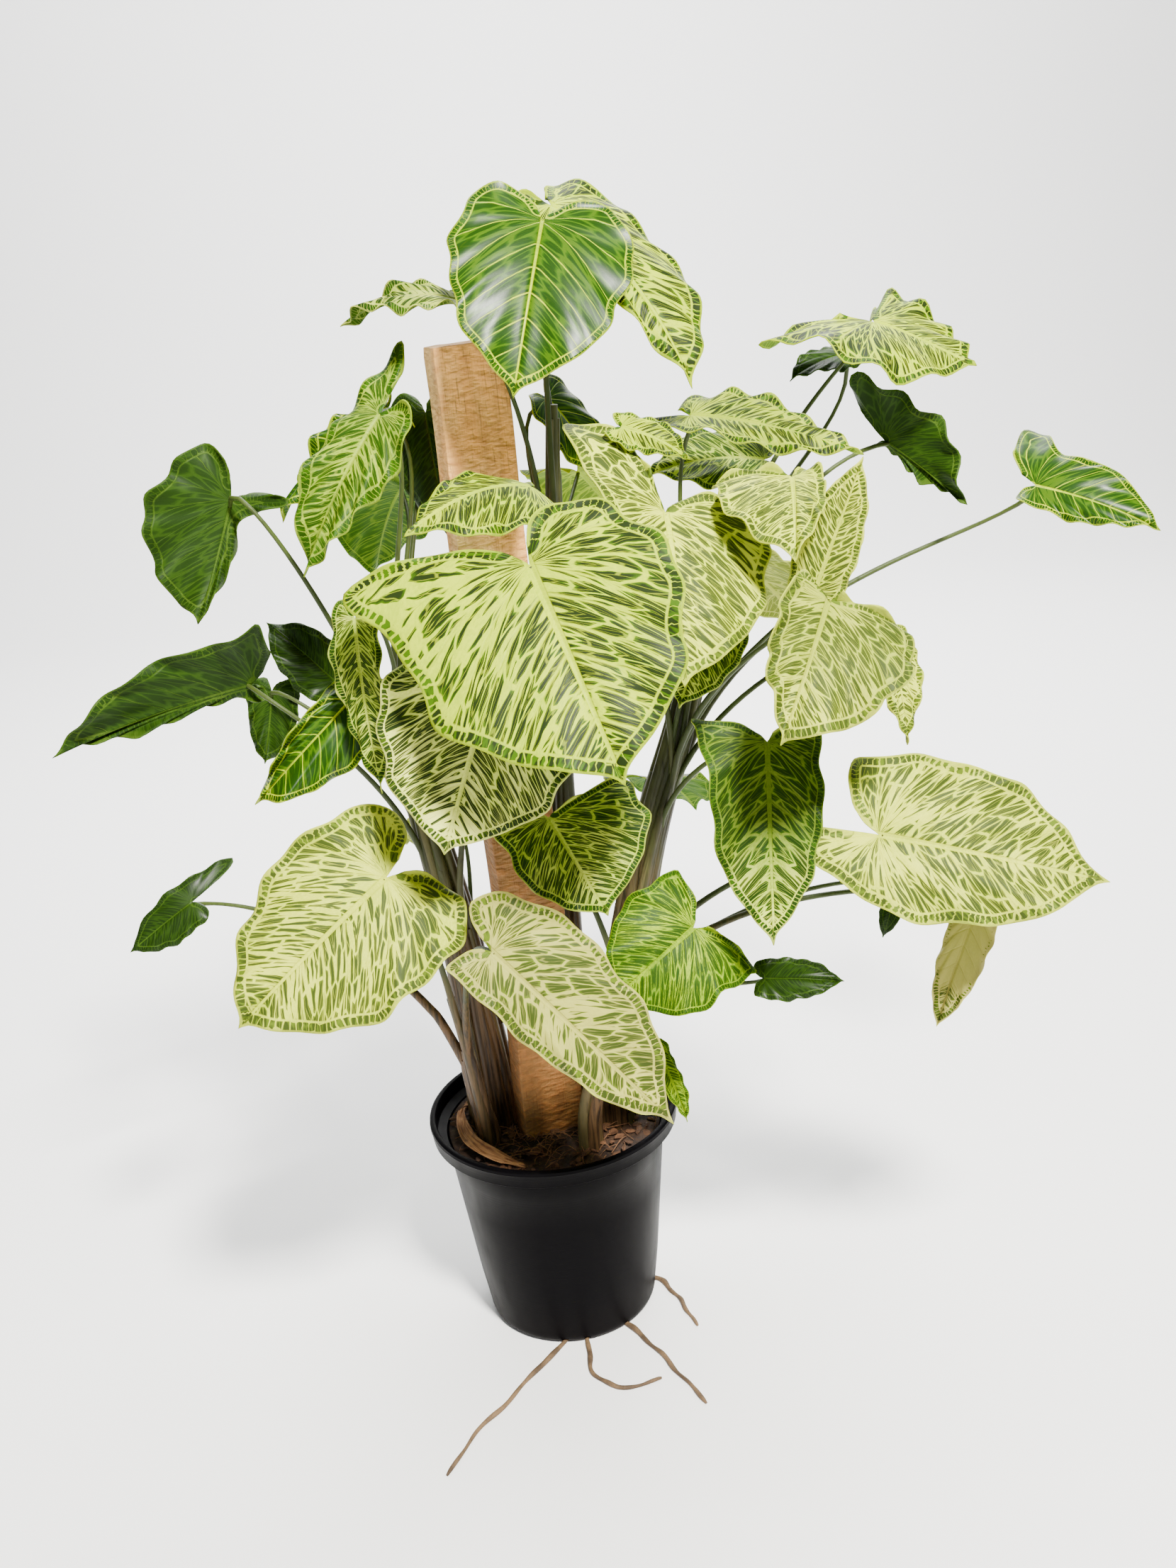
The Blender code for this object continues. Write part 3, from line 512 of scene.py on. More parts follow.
def make_soil_body():
    """The coir block with a lumpy top, from the pot's floor to just under its lip."""
    only_select()
    low = INNER_FLOOR + 0.5
    bpy.ops.mesh.primitive_cone_add(vertices=96, radius1=(BASE_RADIUS - 9.0) * MM, radius2=SOIL_RADIUS * MM,
                                    depth=(SOIL_TOP - low) * MM, location=(0, 0, (SOIL_TOP + low) / 2 * MM))
    soil = bpy.context.object
    bpy.ops.object.transform_apply(location=True, rotation=False, scale=False)
    for face in soil.data.polygons:
        face.select = face.normal.z > 0.9
    for edge in soil.data.edges:
        edge.select = False
    bpy.ops.object.mode_set(mode="EDIT")
    bpy.ops.mesh.select_mode(type="FACE")
    bpy.ops.object.mode_set(mode="OBJECT")
    for face in soil.data.polygons:
        face.select = face.normal.z > 0.9
    bpy.ops.object.mode_set(mode="EDIT")
    for _ in range(SOIL_RINGS):
        bpy.ops.mesh.inset(thickness=SOIL_RADIUS / (SOIL_RINGS + 1.0) * MM)
    bpy.ops.mesh.select_mode(type="VERT")
    bpy.ops.object.mode_set(mode="OBJECT")
    co = np.zeros(len(soil.data.vertices) * 3)
    soil.data.vertices.foreach_get("co", co)
    co = co.reshape(-1, 3)
    top = co[:, 2] > (SOIL_TOP - 1) * MM
    x, y = co[top, 0] / MM, co[top, 1] / MM
    fine = bumps(x, y, 9.0, 2.0) + 0.5 * bumps(x, y, 3.0, 5.0)
    co[top, 2] += (fine * SOIL_BUMPS * (np.hypot(x, y) < SOIL_RADIUS - 0.5) - 0.6) * MM
    soil.data.vertices.foreach_set("co", co.ravel())
    bpy.ops.object.shade_smooth()
    return soil


soil = make_soil_body()
print("soil faces:", len(soil.data.polygons))

# %% Coir chips and fibres
CHIPS = 330
FIBRES = 210


def soil_spot(edge):
    """A random spot on the soil, at least this far in from the pot's wall."""
    turn = draw.uniform(0, math.tau)
    reach = (SOIL_RADIUS - edge) * math.sqrt(draw.random())
    return reach * math.cos(turn), reach * math.sin(turn)


def make_chips():
    """Husk chips: one dented flake, copied at random sizes and turns."""
    only_select()
    bpy.ops.mesh.primitive_ico_sphere_add(subdivisions=1, radius=MM, location=(0, 0, 0))
    flake = bpy.context.object
    bpy.ops.object.mode_set(mode="EDIT")
    bpy.ops.transform.resize(value=(1.0, 0.55, 0.28))
    bpy.ops.object.mode_set(mode="OBJECT")
    chips = []
    for _ in range(CHIPS):
        x, y = soil_spot(4.0)
        size = draw.choice((1.6, 2.2, 2.8, 3.6, 5.0))
        turn = Matrix.Rotation(draw.uniform(0, math.tau), 4, "Z") @ Matrix.Rotation(draw.gauss(0, 0.45), 4, "X")
        place = Matrix.Translation(Vector((x, y, SOIL_TOP + draw.uniform(0.2, 2.6))) * MM)
        shape = Matrix.Diagonal((size * draw.uniform(0.8, 1.5), size, size * draw.uniform(0.7, 1.4), 1.0))
        chip = flake.copy()
        chip.data = flake.data.copy()
        chip.data.transform(place @ turn @ shape)
        bpy.context.collection.objects.link(chip)
        for vert in chip.data.vertices:
            vert.co += Vector([draw.uniform(-0.5, 0.5) for _ in range(3)]) * MM
        chips.append(chip)
    bpy.data.objects.remove(flake, do_unlink=True)
    return join_pieces(chips)


def make_fibres():
    """Coir fibres: thin tubes that lie in shallow arches on the soil."""
    fibres = []
    for _ in range(FIBRES):
        x, y = soil_spot(9.0)
        turn = draw.uniform(0, math.tau)
        length = draw.uniform(9, 30)
        bend = draw.uniform(-1.2, 1.2)
        height = draw.uniform(1.5, 5.0)
        points = []
        for share in np.linspace(0, 1, 7):
            heading = turn + bend * share
            x += math.cos(heading) * length / 7
            y += math.sin(heading) * length / 7
            keep = min(1.0, (SOIL_RADIUS - 1.0) / max(math.hypot(x, y), 1.0))
            points.append((x * keep, y * keep, SOIL_TOP + 0.6 + height * math.sin(math.pi * share)))
        fibres.append(tube(points, [draw.uniform(0.22, 0.5)] * 7, 0))
    return join_pieces(fibres)


chips = make_chips()
fibres = make_fibres()
print("chips:", len(chips.data.polygons), "fibres:", len(fibres.data.polygons))

# %% [markdown]
# Coir is reddish brown where it is dry and nearly black where it is damp. Noise at two sizes mixes the two,
# and the chips and fibres use the same mix, shifted lighter.

# %% Soil finish
def soil_finish(name, light, damp):
    """Coir: brown husk, darker where it is damp, with a crumbly relief."""
    shader = Shader(name, 0.9)
    place = shader.place()
    broad = shader.noise(place, 3.0, 45.0)
    fine = shader.noise(place, 6.0, 420.0)
    wet = (broad + fine * 0.5).step(0.62, 0.88)
    husk = shader.blend(fine.step(0.35, 0.65), light, tuple(c * 1.9 for c in light))
    colour = shader.blend(wet * damp, husk, (0.012, 0.007, 0.005))
    return shader.finish(colour, None, fine + broad, 0.001, 0.9)


finish_piece(soil, "coir_ball", soil_finish("coir_soil", (0.050, 0.024, 0.012), 0.9), "soil")
finish_piece(chips, "coir_chips", soil_finish("coir_chip", (0.105, 0.046, 0.020), 0.75), None)
finish_piece(fibres, "coir_fibres", soil_finish("coir_fibre", (0.17, 0.08, 0.035), 0.45), None)
print("soil finished")

# %% [markdown]
# ## The stake
# A length of sawn softwood, wider at its top, which the stems lean on. It starts as a cube that is pulled
# to length, widened at the top face and bevelled, then cut into short courses, whose corners are
# moved by a formula: the saw left shallow steps across it, and its edges wander a little.

# %% Stake shape
STAKE_PLACE = (-2.0, -11.0)
STAKE_FOOT = 20.0
STAKE_TOP = 736.0
STAKE_WIDE_TOP = 47.0
STAKE_WIDE_FOOT = 26.0
STAKE_THICK = 24.0
STAKE_TURN = 20.0


def make_stake():
    """The sawn, tapered stake."""
    only_select()
    bpy.ops.mesh.primitive_cube_add(size=1.0, location=(0, 0, 0))
    stake = bpy.context.object
    height = STAKE_TOP - STAKE_FOOT
    bpy.ops.object.mode_set(mode="EDIT")
    bpy.ops.transform.resize(value=(STAKE_WIDE_FOOT * MM, STAKE_THICK * MM, height * MM))
    bpy.ops.transform.translate(value=(0, 0, (STAKE_TOP + STAKE_FOOT) / 2 * MM))
    bpy.ops.mesh.select_mode(type="FACE")
    bpy.ops.object.mode_set(mode="OBJECT")
    for face in stake.data.polygons:
        face.select = face.normal.z > 0.9
    bpy.ops.object.mode_set(mode="EDIT")
    bpy.ops.transform.resize(value=(STAKE_WIDE_TOP / STAKE_WIDE_FOOT, 1, 1))
    bpy.ops.mesh.select_all(action="SELECT")
    bpy.ops.mesh.bevel(offset=1.0 * MM, segments=3, affect="EDGES")
    bpy.ops.object.mode_set(mode="OBJECT")
    for edge in stake.data.edges:
        ends = [stake.data.vertices[i].co for i in edge.vertices]
        edge.select = abs(ends[0].z - ends[1].z) > height * 0.5 * MM
    for face in stake.data.polygons:
        face.select = False
    for vert in stake.data.vertices:
        vert.select = False
    bpy.ops.object.mode_set(mode="EDIT")
    bpy.ops.mesh.select_mode(type="EDGE")
    bpy.ops.mesh.subdivide(number_cuts=170)
    bpy.ops.mesh.select_all(action="DESELECT")
    bpy.ops.object.mode_set(mode="OBJECT")
    for edge in stake.data.edges:
        ends = [stake.data.vertices[i].co for i in edge.vertices]
        edge.select = abs(ends[0].z - ends[1].z) < 0.5 * MM and (ends[0] - ends[1]).length > 15 * MM
    bpy.ops.object.mode_set(mode="EDIT")
    bpy.ops.mesh.subdivide(number_cuts=5)
    bpy.ops.mesh.select_mode(type="VERT")
    bpy.ops.object.mode_set(mode="OBJECT")
    return stake


def wear_stake(stake):
    """Moves the stake's points by the saw's steps, splinters and a slight bow, then stands it in place."""
    co = np.zeros(len(stake.data.vertices) * 3)
    stake.data.vertices.foreach_get("co", co)
    co = co.reshape(-1, 3) / MM
    x, y, z = co.T
    saw = 0.22 * np.sign(np.sin(z * 0.9 + 1.2 * np.sin(z * 0.07))) * np.abs(np.sin(z * 0.45 + x * 0.05))
    wander = 0.5 * np.sin(z * 0.021 + 1.0) + 0.3 * np.sin(z * 0.057)
    body = (z > STAKE_FOOT + 3) & (z < STAKE_TOP - 3)
    co[:, 1] += body * np.sign(y) * saw
    co[:, 0] += body * wander * (np.abs(x) > 8)
    co[:, 2] += (z > STAKE_TOP - 3) * (0.7 * np.sin(x * 0.4) - 0.9 + 0.02 * x)
    stake.data.vertices.foreach_set("co", (co * MM).ravel())
    stand = Matrix.Translation((STAKE_PLACE[0] * MM, STAKE_PLACE[1] * MM, 0))
    stake.data.transform(stand @ Matrix.Rotation(math.radians(STAKE_TURN), 4, "Z"))
    return stake


stake = wear_stake(make_stake())
print("stake faces:", len(stake.data.polygons))

# %% [markdown]
# Sawn wood shows its growth rings as long, slightly wavy lines along the grain. Sine bands of a distance
# that noise bends give them. Fine fibres are noise that is stretched along the stake, and the
# saw's teeth leave level marks in the relief. The end grain on top is darker.

# %% Stake finish
def stake_finish():
    """Orange-tan sawn wood with grain lines, pores and saw marks, darker low down with painted shade from the
    stems.
    """
    shader = Shader("sawn_wood", 0.75)
    x, y, z = shader.split(shader.place())
    bend = shader.noise(shader.vector(x * 14.0, y * 14.0, z * 2.2), 3.0)
    across = x * 0.94 + y * 0.34
    lines = ((across * 380.0 + bend * 30.0).maths("SINE")) * 0.5 + 0.5
    pores = shader.noise(shader.vector(x * 900.0, y * 900.0, z * 45.0), 4.0)
    patches = shader.noise(shader.vector(x * 30.0, y * 30.0, z * 11.0), 4.0)
    grain = lines.maths("POWER", 2.2) * 0.6 + pores * 0.5
    pale = shader.blend(patches.step(0.35, 0.7), (1.0, 0.45, 0.10), (1.0, 0.62, 0.20))
    colour = shader.blend(grain.step(0.25, 1.05) * 0.35, pale, (0.40, 0.15, 0.035))
    colour = shader.blend(pores.step(0.60, 0.72) * 0.55, colour, (0.17, 0.07, 0.03))
    # painted shade: the wood turns dark brown towards the soil, where the stems shade the stake
    colour = shader.blend(z.step(0.64, 0.40) * 0.88, colour, (0.15, 0.058, 0.010))
    colour = shader.blend(z.step(0.7335, 0.7352) * 0.5, colour, (0.30, 0.17, 0.08))
    teeth = shader.noise(shader.vector(x * 120.0, y * 120.0, z * 300.0), 2.0)
    colour = shader.blend(teeth.step(0.42, 0.70) * 0.45, colour, (0.50, 0.18, 0.04))
    return shader.finish(colour, pores * 0.2 + 0.62, teeth * 2.5 + grain * 0.4 + pores * 0.3, 0.0012, 0.9)


only_select(stake)
bpy.ops.object.shade_smooth_by_angle(angle=math.radians(35))
finish_piece(stake, "sawn_stake", stake_finish(), "stake")
print("stake finished")

# %% [markdown]
# ## Where the leaves are
# Each stem is a route of points, and each leaf is a line of a table: its finish, its stem, the height at
# which its stalk leaves the stem, the joint where stalk and blade meet, and its tip. Then come half
# the width on either side, the two basal lobes, the way the upper face looks, and the bend, fold and wave
# of the blade. The solids use the same table, so the finer blades lie exactly where the solids lie.

# %% Stems and leaves, in millimetres
STEMS = {
    "stem_centre": (((20, 25, 0), (24, 24, 260), (30, 14, 420), (42, 6, 600), (50, 6, 690)), 12.0, 5.5),
    "stem_left": (((-45, 8, 0), (-48, 8, 230), (-57, 4, 340), (-72, 2, 440), (-84, 6, 510)), 22.0, 7.5),
    "stem_right": (((46, -6, 0), (53, -8, 230), (84, -10, 370), (118, -10, 470), (140, -6, 540)), 20.0, 9.5),
    "stem_low_left": (((-50, -26, 0), (-53, -28, 200), (-57, -34, 250), (-62, -42, 290)), 9.0, 4.5),
    "stem_low_right": (((26, -42, 0), (30, -44, 200), (48, -50, 255), (66, -56, 300)), 9.0, 4.5),
}

LEAVES = (
    ("crown_heart", "leaf_green", "stem_centre", 640, (55, -45, 802), (28, -100, 706),
     (51, 57), (19, 30, 17, 32), (0.05, -1.0, 0.35), (26, 10, 2)),
    ("crown_right", "leaf_lime", "stem_centre", 650, (62, 6, 812), (141, -58, 699),
     (24, 55), (20, 20, 26, 34), (0.45, -0.75, 0.5), (40, -6, 4)),
    ("crown_left", "leaf_dark", "stem_centre", 600, (6, -36, 758), (-76, -20, 751),
     (15, 16), (10, 10, 10, 10), (0.0, -0.35, 0.95), (70, 8, 4)),
    ("big_front", "leaf_lime", "stem_centre", 450, (28, -130, 613), (71, -210, 498),
     (92, 77), (41, 106, 34, 30), (-0.05, -0.9, 0.5), (22, 6, 3)),
    ("arched_over_front", "leaf_lime", "stem_centre", 520, (32, -60, 648), (-44, -116, 632),
     (30, 36), (14, 20, 14, 20), (-0.1, -0.55, 0.85), (58, -8, 3)),
    ("centre_back_green", "leaf_green", "stem_centre", 560, (48, 46, 690), (82, 60, 622),
     (26, 28), (12, 16, 12, 16), (0.2, -0.5, 0.9), (30, 8, 2)),
    ("left_hanging_plain", "leaf_plain", "stem_left", 430, (-164, -14, 650), (-192, -44, 576),
     (10, 50), (12, 36, 32, 24), (0.15, 0.95, 0.35), (20, -8, 6)),
    ("left_patched", "leaf_lime", "stem_left", 490, (-58, -36, 698), (-116, -74, 608),
     (26, 28), (48, 12, 10, 14), (-0.3, -0.85, 0.45), (24, 8, 6)),
    ("left_arched", "leaf_green", "stem_left", 480, (-62, 24, 696), (-134, -8, 632),
     (20, 26), (14, 14, 14, 14), (-0.5, -0.65, 0.6), (50, -6, 6)),
    ("left_shaded", "leaf_plain", "stem_left", 470, (-36, 48, 688), (-30, 46, 604),
     (28, 30), (16, 16, 16, 16), (-0.1, -0.8, 0.5), (24, 6, 3)),
    ("left_long_dark", "leaf_plain", "stem_left", 360, (-167, -30, 531), (-298, -62, 503),
     (9, 42), (8, 10, 24, 52), (0.05, 0.95, 0.3), (22, -8, 5)),
    ("left_small_dark", "leaf_plain", "stem_left", 380, (-120, 16, 516), (-162, 24, 560),
     (20, 22), (10, 12, 10, 12), (-0.3, -0.6, 0.75), (30, 8, 3)),
    ("left_notched_dark", "leaf_plain", "stem_left", 400, (-166, 24, 510), (-176, 10, 461),
     (20, 16), (10, 14, 8, 12), (0.1, 0.8, 0.5), (20, 4, 6)),
    ("left_bright_folded", "leaf_green", "stem_left", 370, (-88, -52, 530), (-167, -84, 464),
     (16, 32), (12, 10, 14, 20), (0.4, -0.8, 0.5), (26, 16, 7)),
    ("left_narrow_dark", "leaf_dark", "stem_left", 420, (-86, -76, 578), (-80, -96, 469),
     (18, 18), (14, 12, 14, 12), (-0.4, -0.8, 0.4), (20, 14, 3)),
    ("dark_behind_front", "leaf_dark", "stem_left", 330, (-4, -112, 536), (-42, -150, 443),
     (62, 64), (16, 40, 16, 40), (0.0, -0.95, 0.4), (20, 8, 5)),
    ("right_parasol", "leaf_lime", "stem_right", 500, (265, 12, 722), (319, -18, 686),
     (62, 46), (54, 60, 12, 46), (0.3, -0.42, 0.85), (26, 6, 5)),
    ("right_dark_lobe", "leaf_plain", "stem_right", 500, (256, 56, 700), (211, 34, 690),
     (14, 15), (6, 9, 6, 9), (0.0, -0.5, 0.85), (30, 6, 2)),
    ("right_hanging_dark", "leaf_plain", "stem_right", 470, (270, 12, 645), (316, -18, 602),
     (32, 7), (42, 34, 4, 5), (-0.3, 0.7, 0.6), (20, 10, 6)),
    ("right_far", "leaf_green", "stem_right", 430, (362, -20, 611), (431, -60, 583),
     (18, 28), (9, 12, 30, 48), (-0.1, -0.75, 0.65), (24, 6, 3)),
    ("right_long_low", "leaf_lime", "stem_right", 500, (140, -8, 676), (243, -44, 643),
     (22, 26), (32, 8, 14, 14), (-0.1, -0.45, 0.88), (26, 10, 4)),
    ("small_over_centre", "leaf_lime", "stem_right", 520, (92, -54, 678), (133, -66, 656),
     (14, 14), (8, 8, 8, 8), (-0.1, -0.6, 0.8), (34, 8, 2)),
    ("dark_under_long", "leaf_dark", "stem_right", 510, (194, 56, 634), (108, 46, 634),
     (28, 30), (12, 16, 12, 16), (0.0, -0.6, 0.8), (34, 8, 3)),
    ("cream_long_lobe", "leaf_cream", "stem_right", 440, (113, -90, 629), (112, -148, 534),
     (36, 64), (76, 50, 13, 30), (0.3, -0.88, 0.35), (24, 8, 4)),
    ("cream_top", "leaf_cream", "stem_right", 460, (194, -70, 640), (184, -140, 604),
     (48, 20), (10, 44, 14, 8), (0.0, -0.5, 0.85), (36, 6, 4)),
    ("cream_right", "leaf_cream", "stem_right", 420, (204, -126, 573), (161, -194, 507),
     (27, 58), (14, 20, 6, 48), (0.1, -0.85, 0.5), (34, 10, 6)),
    ("cream_upright", "leaf_cream", "stem_right", 410, (202, -92, 572), (236, -84, 650),
     (18, 20), (8, 10, 8, 10), (-0.2, -0.95, 0.1), (18, 12, 3)),
    ("right_light_strip", "leaf_cream", "stem_right", 400, (254, -56, 531), (258, -86, 463),
     (13, 17), (6, 8, 6, 8), (0.3, -0.8, 0.4), (26, 8, 3)),
    ("dark_between", "leaf_dark", "stem_right", 430, (140, -66, 560), (112, -98, 506),
     (28, 28), (12, 16, 12, 16), (0.0, -0.8, 0.6), (26, 8, 2)),
    ("dark_with_bright_tip", "leaf_dark", "stem_right", 380, (166, -100, 479), (157, -150, 360),
     (38, 34), (17, 48, 12, 34), (-0.1, -0.95, 0.3), (24, 8, 3)),
    ("cream_far_right", "leaf_cream", "stem_low_right", 280, (229, -134, 422), (366, -156, 384),
     (48, 56), (54, 4, 26, 46), (0.0, -0.85, 0.55), (18, 6, 5)),
    ("beige_hanging", "leaf_cream", "stem_low_right", 270, (300, -96, 345), (266, -118, 271),
     (14, 17), (6, 8, 6, 8), (-0.3, -0.8, 0.3), (24, 12, 3)),
    ("right_tiny_dark", "leaf_plain", "stem_low_right", 260, (255, -60, 347), (243, -66, 317),
     (8, 8), (4, 5, 4, 5), (-0.2, -0.9, 0.4), (20, 8, 1)),
    ("right_low_dark", "leaf_plain", "stem_low_right", 240, (155, -100, 312), (208, -112, 311),
     (15, 14), (6, 9, 6, 9), (0.0, -0.8, 0.6), (26, 10, 2)),
    ("low_green", "leaf_green", "stem_low_right", 270, (110, -106, 357), (52, -130, 322),
     (42, 46), (18, 34, 16, 48), (0.1, -0.85, 0.5), (20, 6, 3)),
    ("dark_centre", "leaf_dark", "stem_low_right", 290, (22, -84, 436), (55, -116, 376),
     (36, 59), (20, 36, 2, 46), (0.0, -0.9, 0.5), (22, 6, 3)),
    ("rim_green", "leaf_green", "stem_low_right", 215, (80, -52, 240), (99, -72, 188),
     (9, 9), (5, 6, 5, 6), (0.3, -0.8, 0.5), (24, 8, 2)),
    ("cream_front_low", "leaf_cream", "stem_low_left", 250, (-21, -142, 371), (85, -166, 247),
     (28, 48), (14, 26, 30, 16), (0.0, -0.85, 0.55), (22, 6, 4)),
    ("cream_left_low", "leaf_cream", "stem_low_left", 270, (-86, -104, 413), (-186, -152, 339),
     (58, 68), (38, 30, 26, 46), (-0.05, -0.88, 0.5), (22, 6, 5)),
    ("far_left_dark", "leaf_plain", "stem_low_left", 240, (-232, -40, 382), (-276, -52, 354),
     (16, 18), (42, 12, 6, 12), (-0.1, -0.85, 0.5), (22, 8, 2)),
    ("back_high_right", "leaf_lime", "stem_centre", 520, (64, 118, 630), (100, 206, 550),
     (44, 46), (20, 30, 20, 30), (0.2, 0.7, 0.7), (34, 8, 4)),
    ("back_high_left", "leaf_green", "stem_left", 470, (-66, 120, 630), (-106, 206, 548),
     (44, 44), (20, 28, 20, 28), (-0.2, 0.7, 0.7), (34, 8, 4)),
    ("back_middle", "leaf_cream", "stem_centre", 440, (24, 140, 540), (20, 226, 436),
     (50, 48), (24, 34, 24, 34), (0.0, 0.8, 0.6), (30, 8, 4)),
    ("back_right", "leaf_cream", "stem_right", 400, (166, 96, 560), (236, 170, 474),
     (44, 46), (20, 30, 20, 30), (0.5, 0.6, 0.6), (32, 8, 4)),
    ("back_left", "leaf_lime", "stem_left", 350, (-108, 104, 470), (-172, 176, 400),
     (42, 44), (20, 28, 20, 28), (-0.5, 0.6, 0.6), (32, 8, 4)),
    ("back_low_right", "leaf_green", "stem_right", 270, (96, 112, 388), (140, 196, 324),
     (38, 38), (18, 26, 18, 26), (0.3, 0.7, 0.7), (30, 8, 3)),
    ("back_low_left", "leaf_cream", "stem_left", 250, (-56, 116, 372), (-92, 200, 306),
     (38, 38), (18, 26, 18, 26), (-0.3, 0.7, 0.7), (30, 8, 3)),
)

print("stems:", len(STEMS), "leaves:", len(LEAVES))

# %% [markdown]
# ## The blade of a leaf
# A syngonium blade is an arrowhead: a midrib from joint to tip, two halves, and two lobes behind the joint.
# A plane could be cut to that outline, but its faces would then cross the veins. Instead a grid's rows
# become spokes that fan out from the joint and its columns become rings, so faces follow the growth. The
# flat leaf is then bent along the midrib, folded at it, curled across and waved at the margin.

# %% Blade form
# how each leaf differs: how much of its face the pale net takes near the stalk and at the tip, how much
# more on the left half than on the right, how dull the net is near the stalk, fading out towards the tip,
# which is partly painted shade (on dark_with_bright_tip the shadow of the leaf above), and how beige
TONE = {
    "leaf_lime": (0.06, 0.07, 0.0, 0.0, 0.0), "leaf_cream": (0.12, 0.10, 0.0, 0.0, 0.05),
    "leaf_dark": (0.01, 0.03, 0.0, 0.15, 0.0), "leaf_green": (0.01, 0.03, 0.0, 0.1, 0.0),
    "leaf_plain": (0.02, 0.02, 0.0, 0.2, 0.0), "big_front": (0.08, 0.06, 0.13, 0.0, 0.0),
    "cream_front_low": (0.13, 0.05, 0.0, 0.2, 0.6), "cream_left_low": (0.15, 0.07, 0.03, 0.0, 0.08),
    "cream_far_right": (0.15, 0.08, 0.0, 0.0, 0.1), "cream_right": (0.03, 0.05, -0.02, 0.4, 0.15),
    "cream_top": (0.05, 0.09, 0.0, 0.05, 0.0), "cream_long_lobe": (0.04, 0.12, 0.0, 0.0, 0.0),
    "cream_upright": (0.04, 0.10, 0.0, 0.1, 0.1), "beige_hanging": (0.6, -0.3, 0.0, 0.0, 0.7),
    # dark_with_bright_tip's fourth number, 0.8, is painted shade over its upper part from the leaf above
    "dark_behind_front": (0.065, 0.075, 0.02, 0.0, 0.0), "dark_with_bright_tip": (-0.02, 0.03, 0.0, 0.8, 0.0),
    "dark_centre": (0.01, 0.03, 0.0, 0.3, 0.0), "dark_under_long": (0.0, 0.0, 0.0, 0.5, 0.0),
    "dark_between": (0.0, 0.0, 0.0, 0.5, 0.0), "left_narrow_dark": (0.0, 0.0, 0.0, 0.25, 0.0),
    "right_parasol": (0.07, 0.05, 0.0, 0.0, 0.0), "right_long_low": (0.10, 0.10, 0.0, 0.3, 0.1),
    "right_far": (-0.05, 0.0, 0.0, 0.0, 0.0), "arched_over_front": (0.03, 0.06, 0.0, 0.1, 0.0),
    "left_patched": (0.05, 0.03, 0.0, 0.0, 0.1), "crown_left": (0.2, -0.5, 0.0, 0.4, 0.2),
    "low_green": (-0.02, 0.02, 0.0, 0.0, 0.0),
}
# the leaves whose skin is not the one of their solid's colour
SKIN = {"low_green": "leaf_netted", "left_patched": "leaf_netted", "rim_green": "leaf_netted",
        "dark_behind_front": "leaf_batik"}
CROSS_CURL = 16.0
MARGIN_WAVES = 3.5
VEIN_SLOPE = 0.75
VEIN_SWEEP = 0.36
LOBE_FAN = 0.30
LATERALS = 7.0
RIB_GROOVE = 0.9
QUILT = 0.6
SCALLOP = 0.055
BLADE_THICKNESS = 0.7
BORDER_SHARE = {"leaf_green": 0.72, "leaf_dark": 0.8}


def arc(distance, start, curvature):
    """Along and up from the start of an arc, after a distance along it."""
    if abs(curvature) < 1e-7:
        return distance * math.cos(start), distance * math.sin(start)
    turned = start + curvature * distance
    return (np.sin(turned) - math.sin(start)) / curvature, (math.cos(start) - np.cos(turned)) / curvature


def half_margin(length, half, back, out, count):
    """One side of a blade's outline, from the tip round the lobe to the notch, as along and across."""
    reach = 0.6 * max(half, out) + 0.4 * out
    knots = ((length, 0.0), (0.94 * length, 0.08 * half), (0.85 * length, 0.36 * half),
             (0.68 * length, 0.72 * half), (0.42 * length, 0.96 * half), (0.12 * length, half),
             (-0.55 * back, reach), (-back, out), (-0.82 * back, 0.42 * out), (-0.4 * back, 0.12 * out))
    return smooth_route(knots, count + 1)


def vein_field(along, across, length, width):
    """Which side vein a point lies on, as where that vein leaves the midrib, and how far out along it."""
    reach = np.abs(across)
    swept = along - VEIN_SWEEP * reach**2 / width
    start = math.atan2(1, VEIN_SLOPE)
    turn = np.arctan2(reach, swept)
    ahead = swept > VEIN_SLOPE * reach
    phase = np.where(ahead, swept - VEIN_SLOPE * reach, -LOBE_FAN * length * (turn - start))
    out = np.where(ahead, reach * math.hypot(1, VEIN_SLOPE), np.hypot(swept, reach))
    return phase, out


def to_margin(along, across, margin):
    """Each point's distance to the outline, and how far round the outline its nearest place is."""
    fine = smooth_route(margin, 420)
    round_it = np.concatenate([[0.0], np.cumsum(np.linalg.norm(np.diff(fine, axis=0), axis=1))])
    points = np.stack([along.ravel(), across.ravel()], -1)
    gaps = np.linalg.norm(points[:, None, :] - fine[None], axis=2)
    nearest = gaps.argmin(1)
    return gaps.min(1).reshape(along.shape), round_it[nearest].reshape(along.shape)


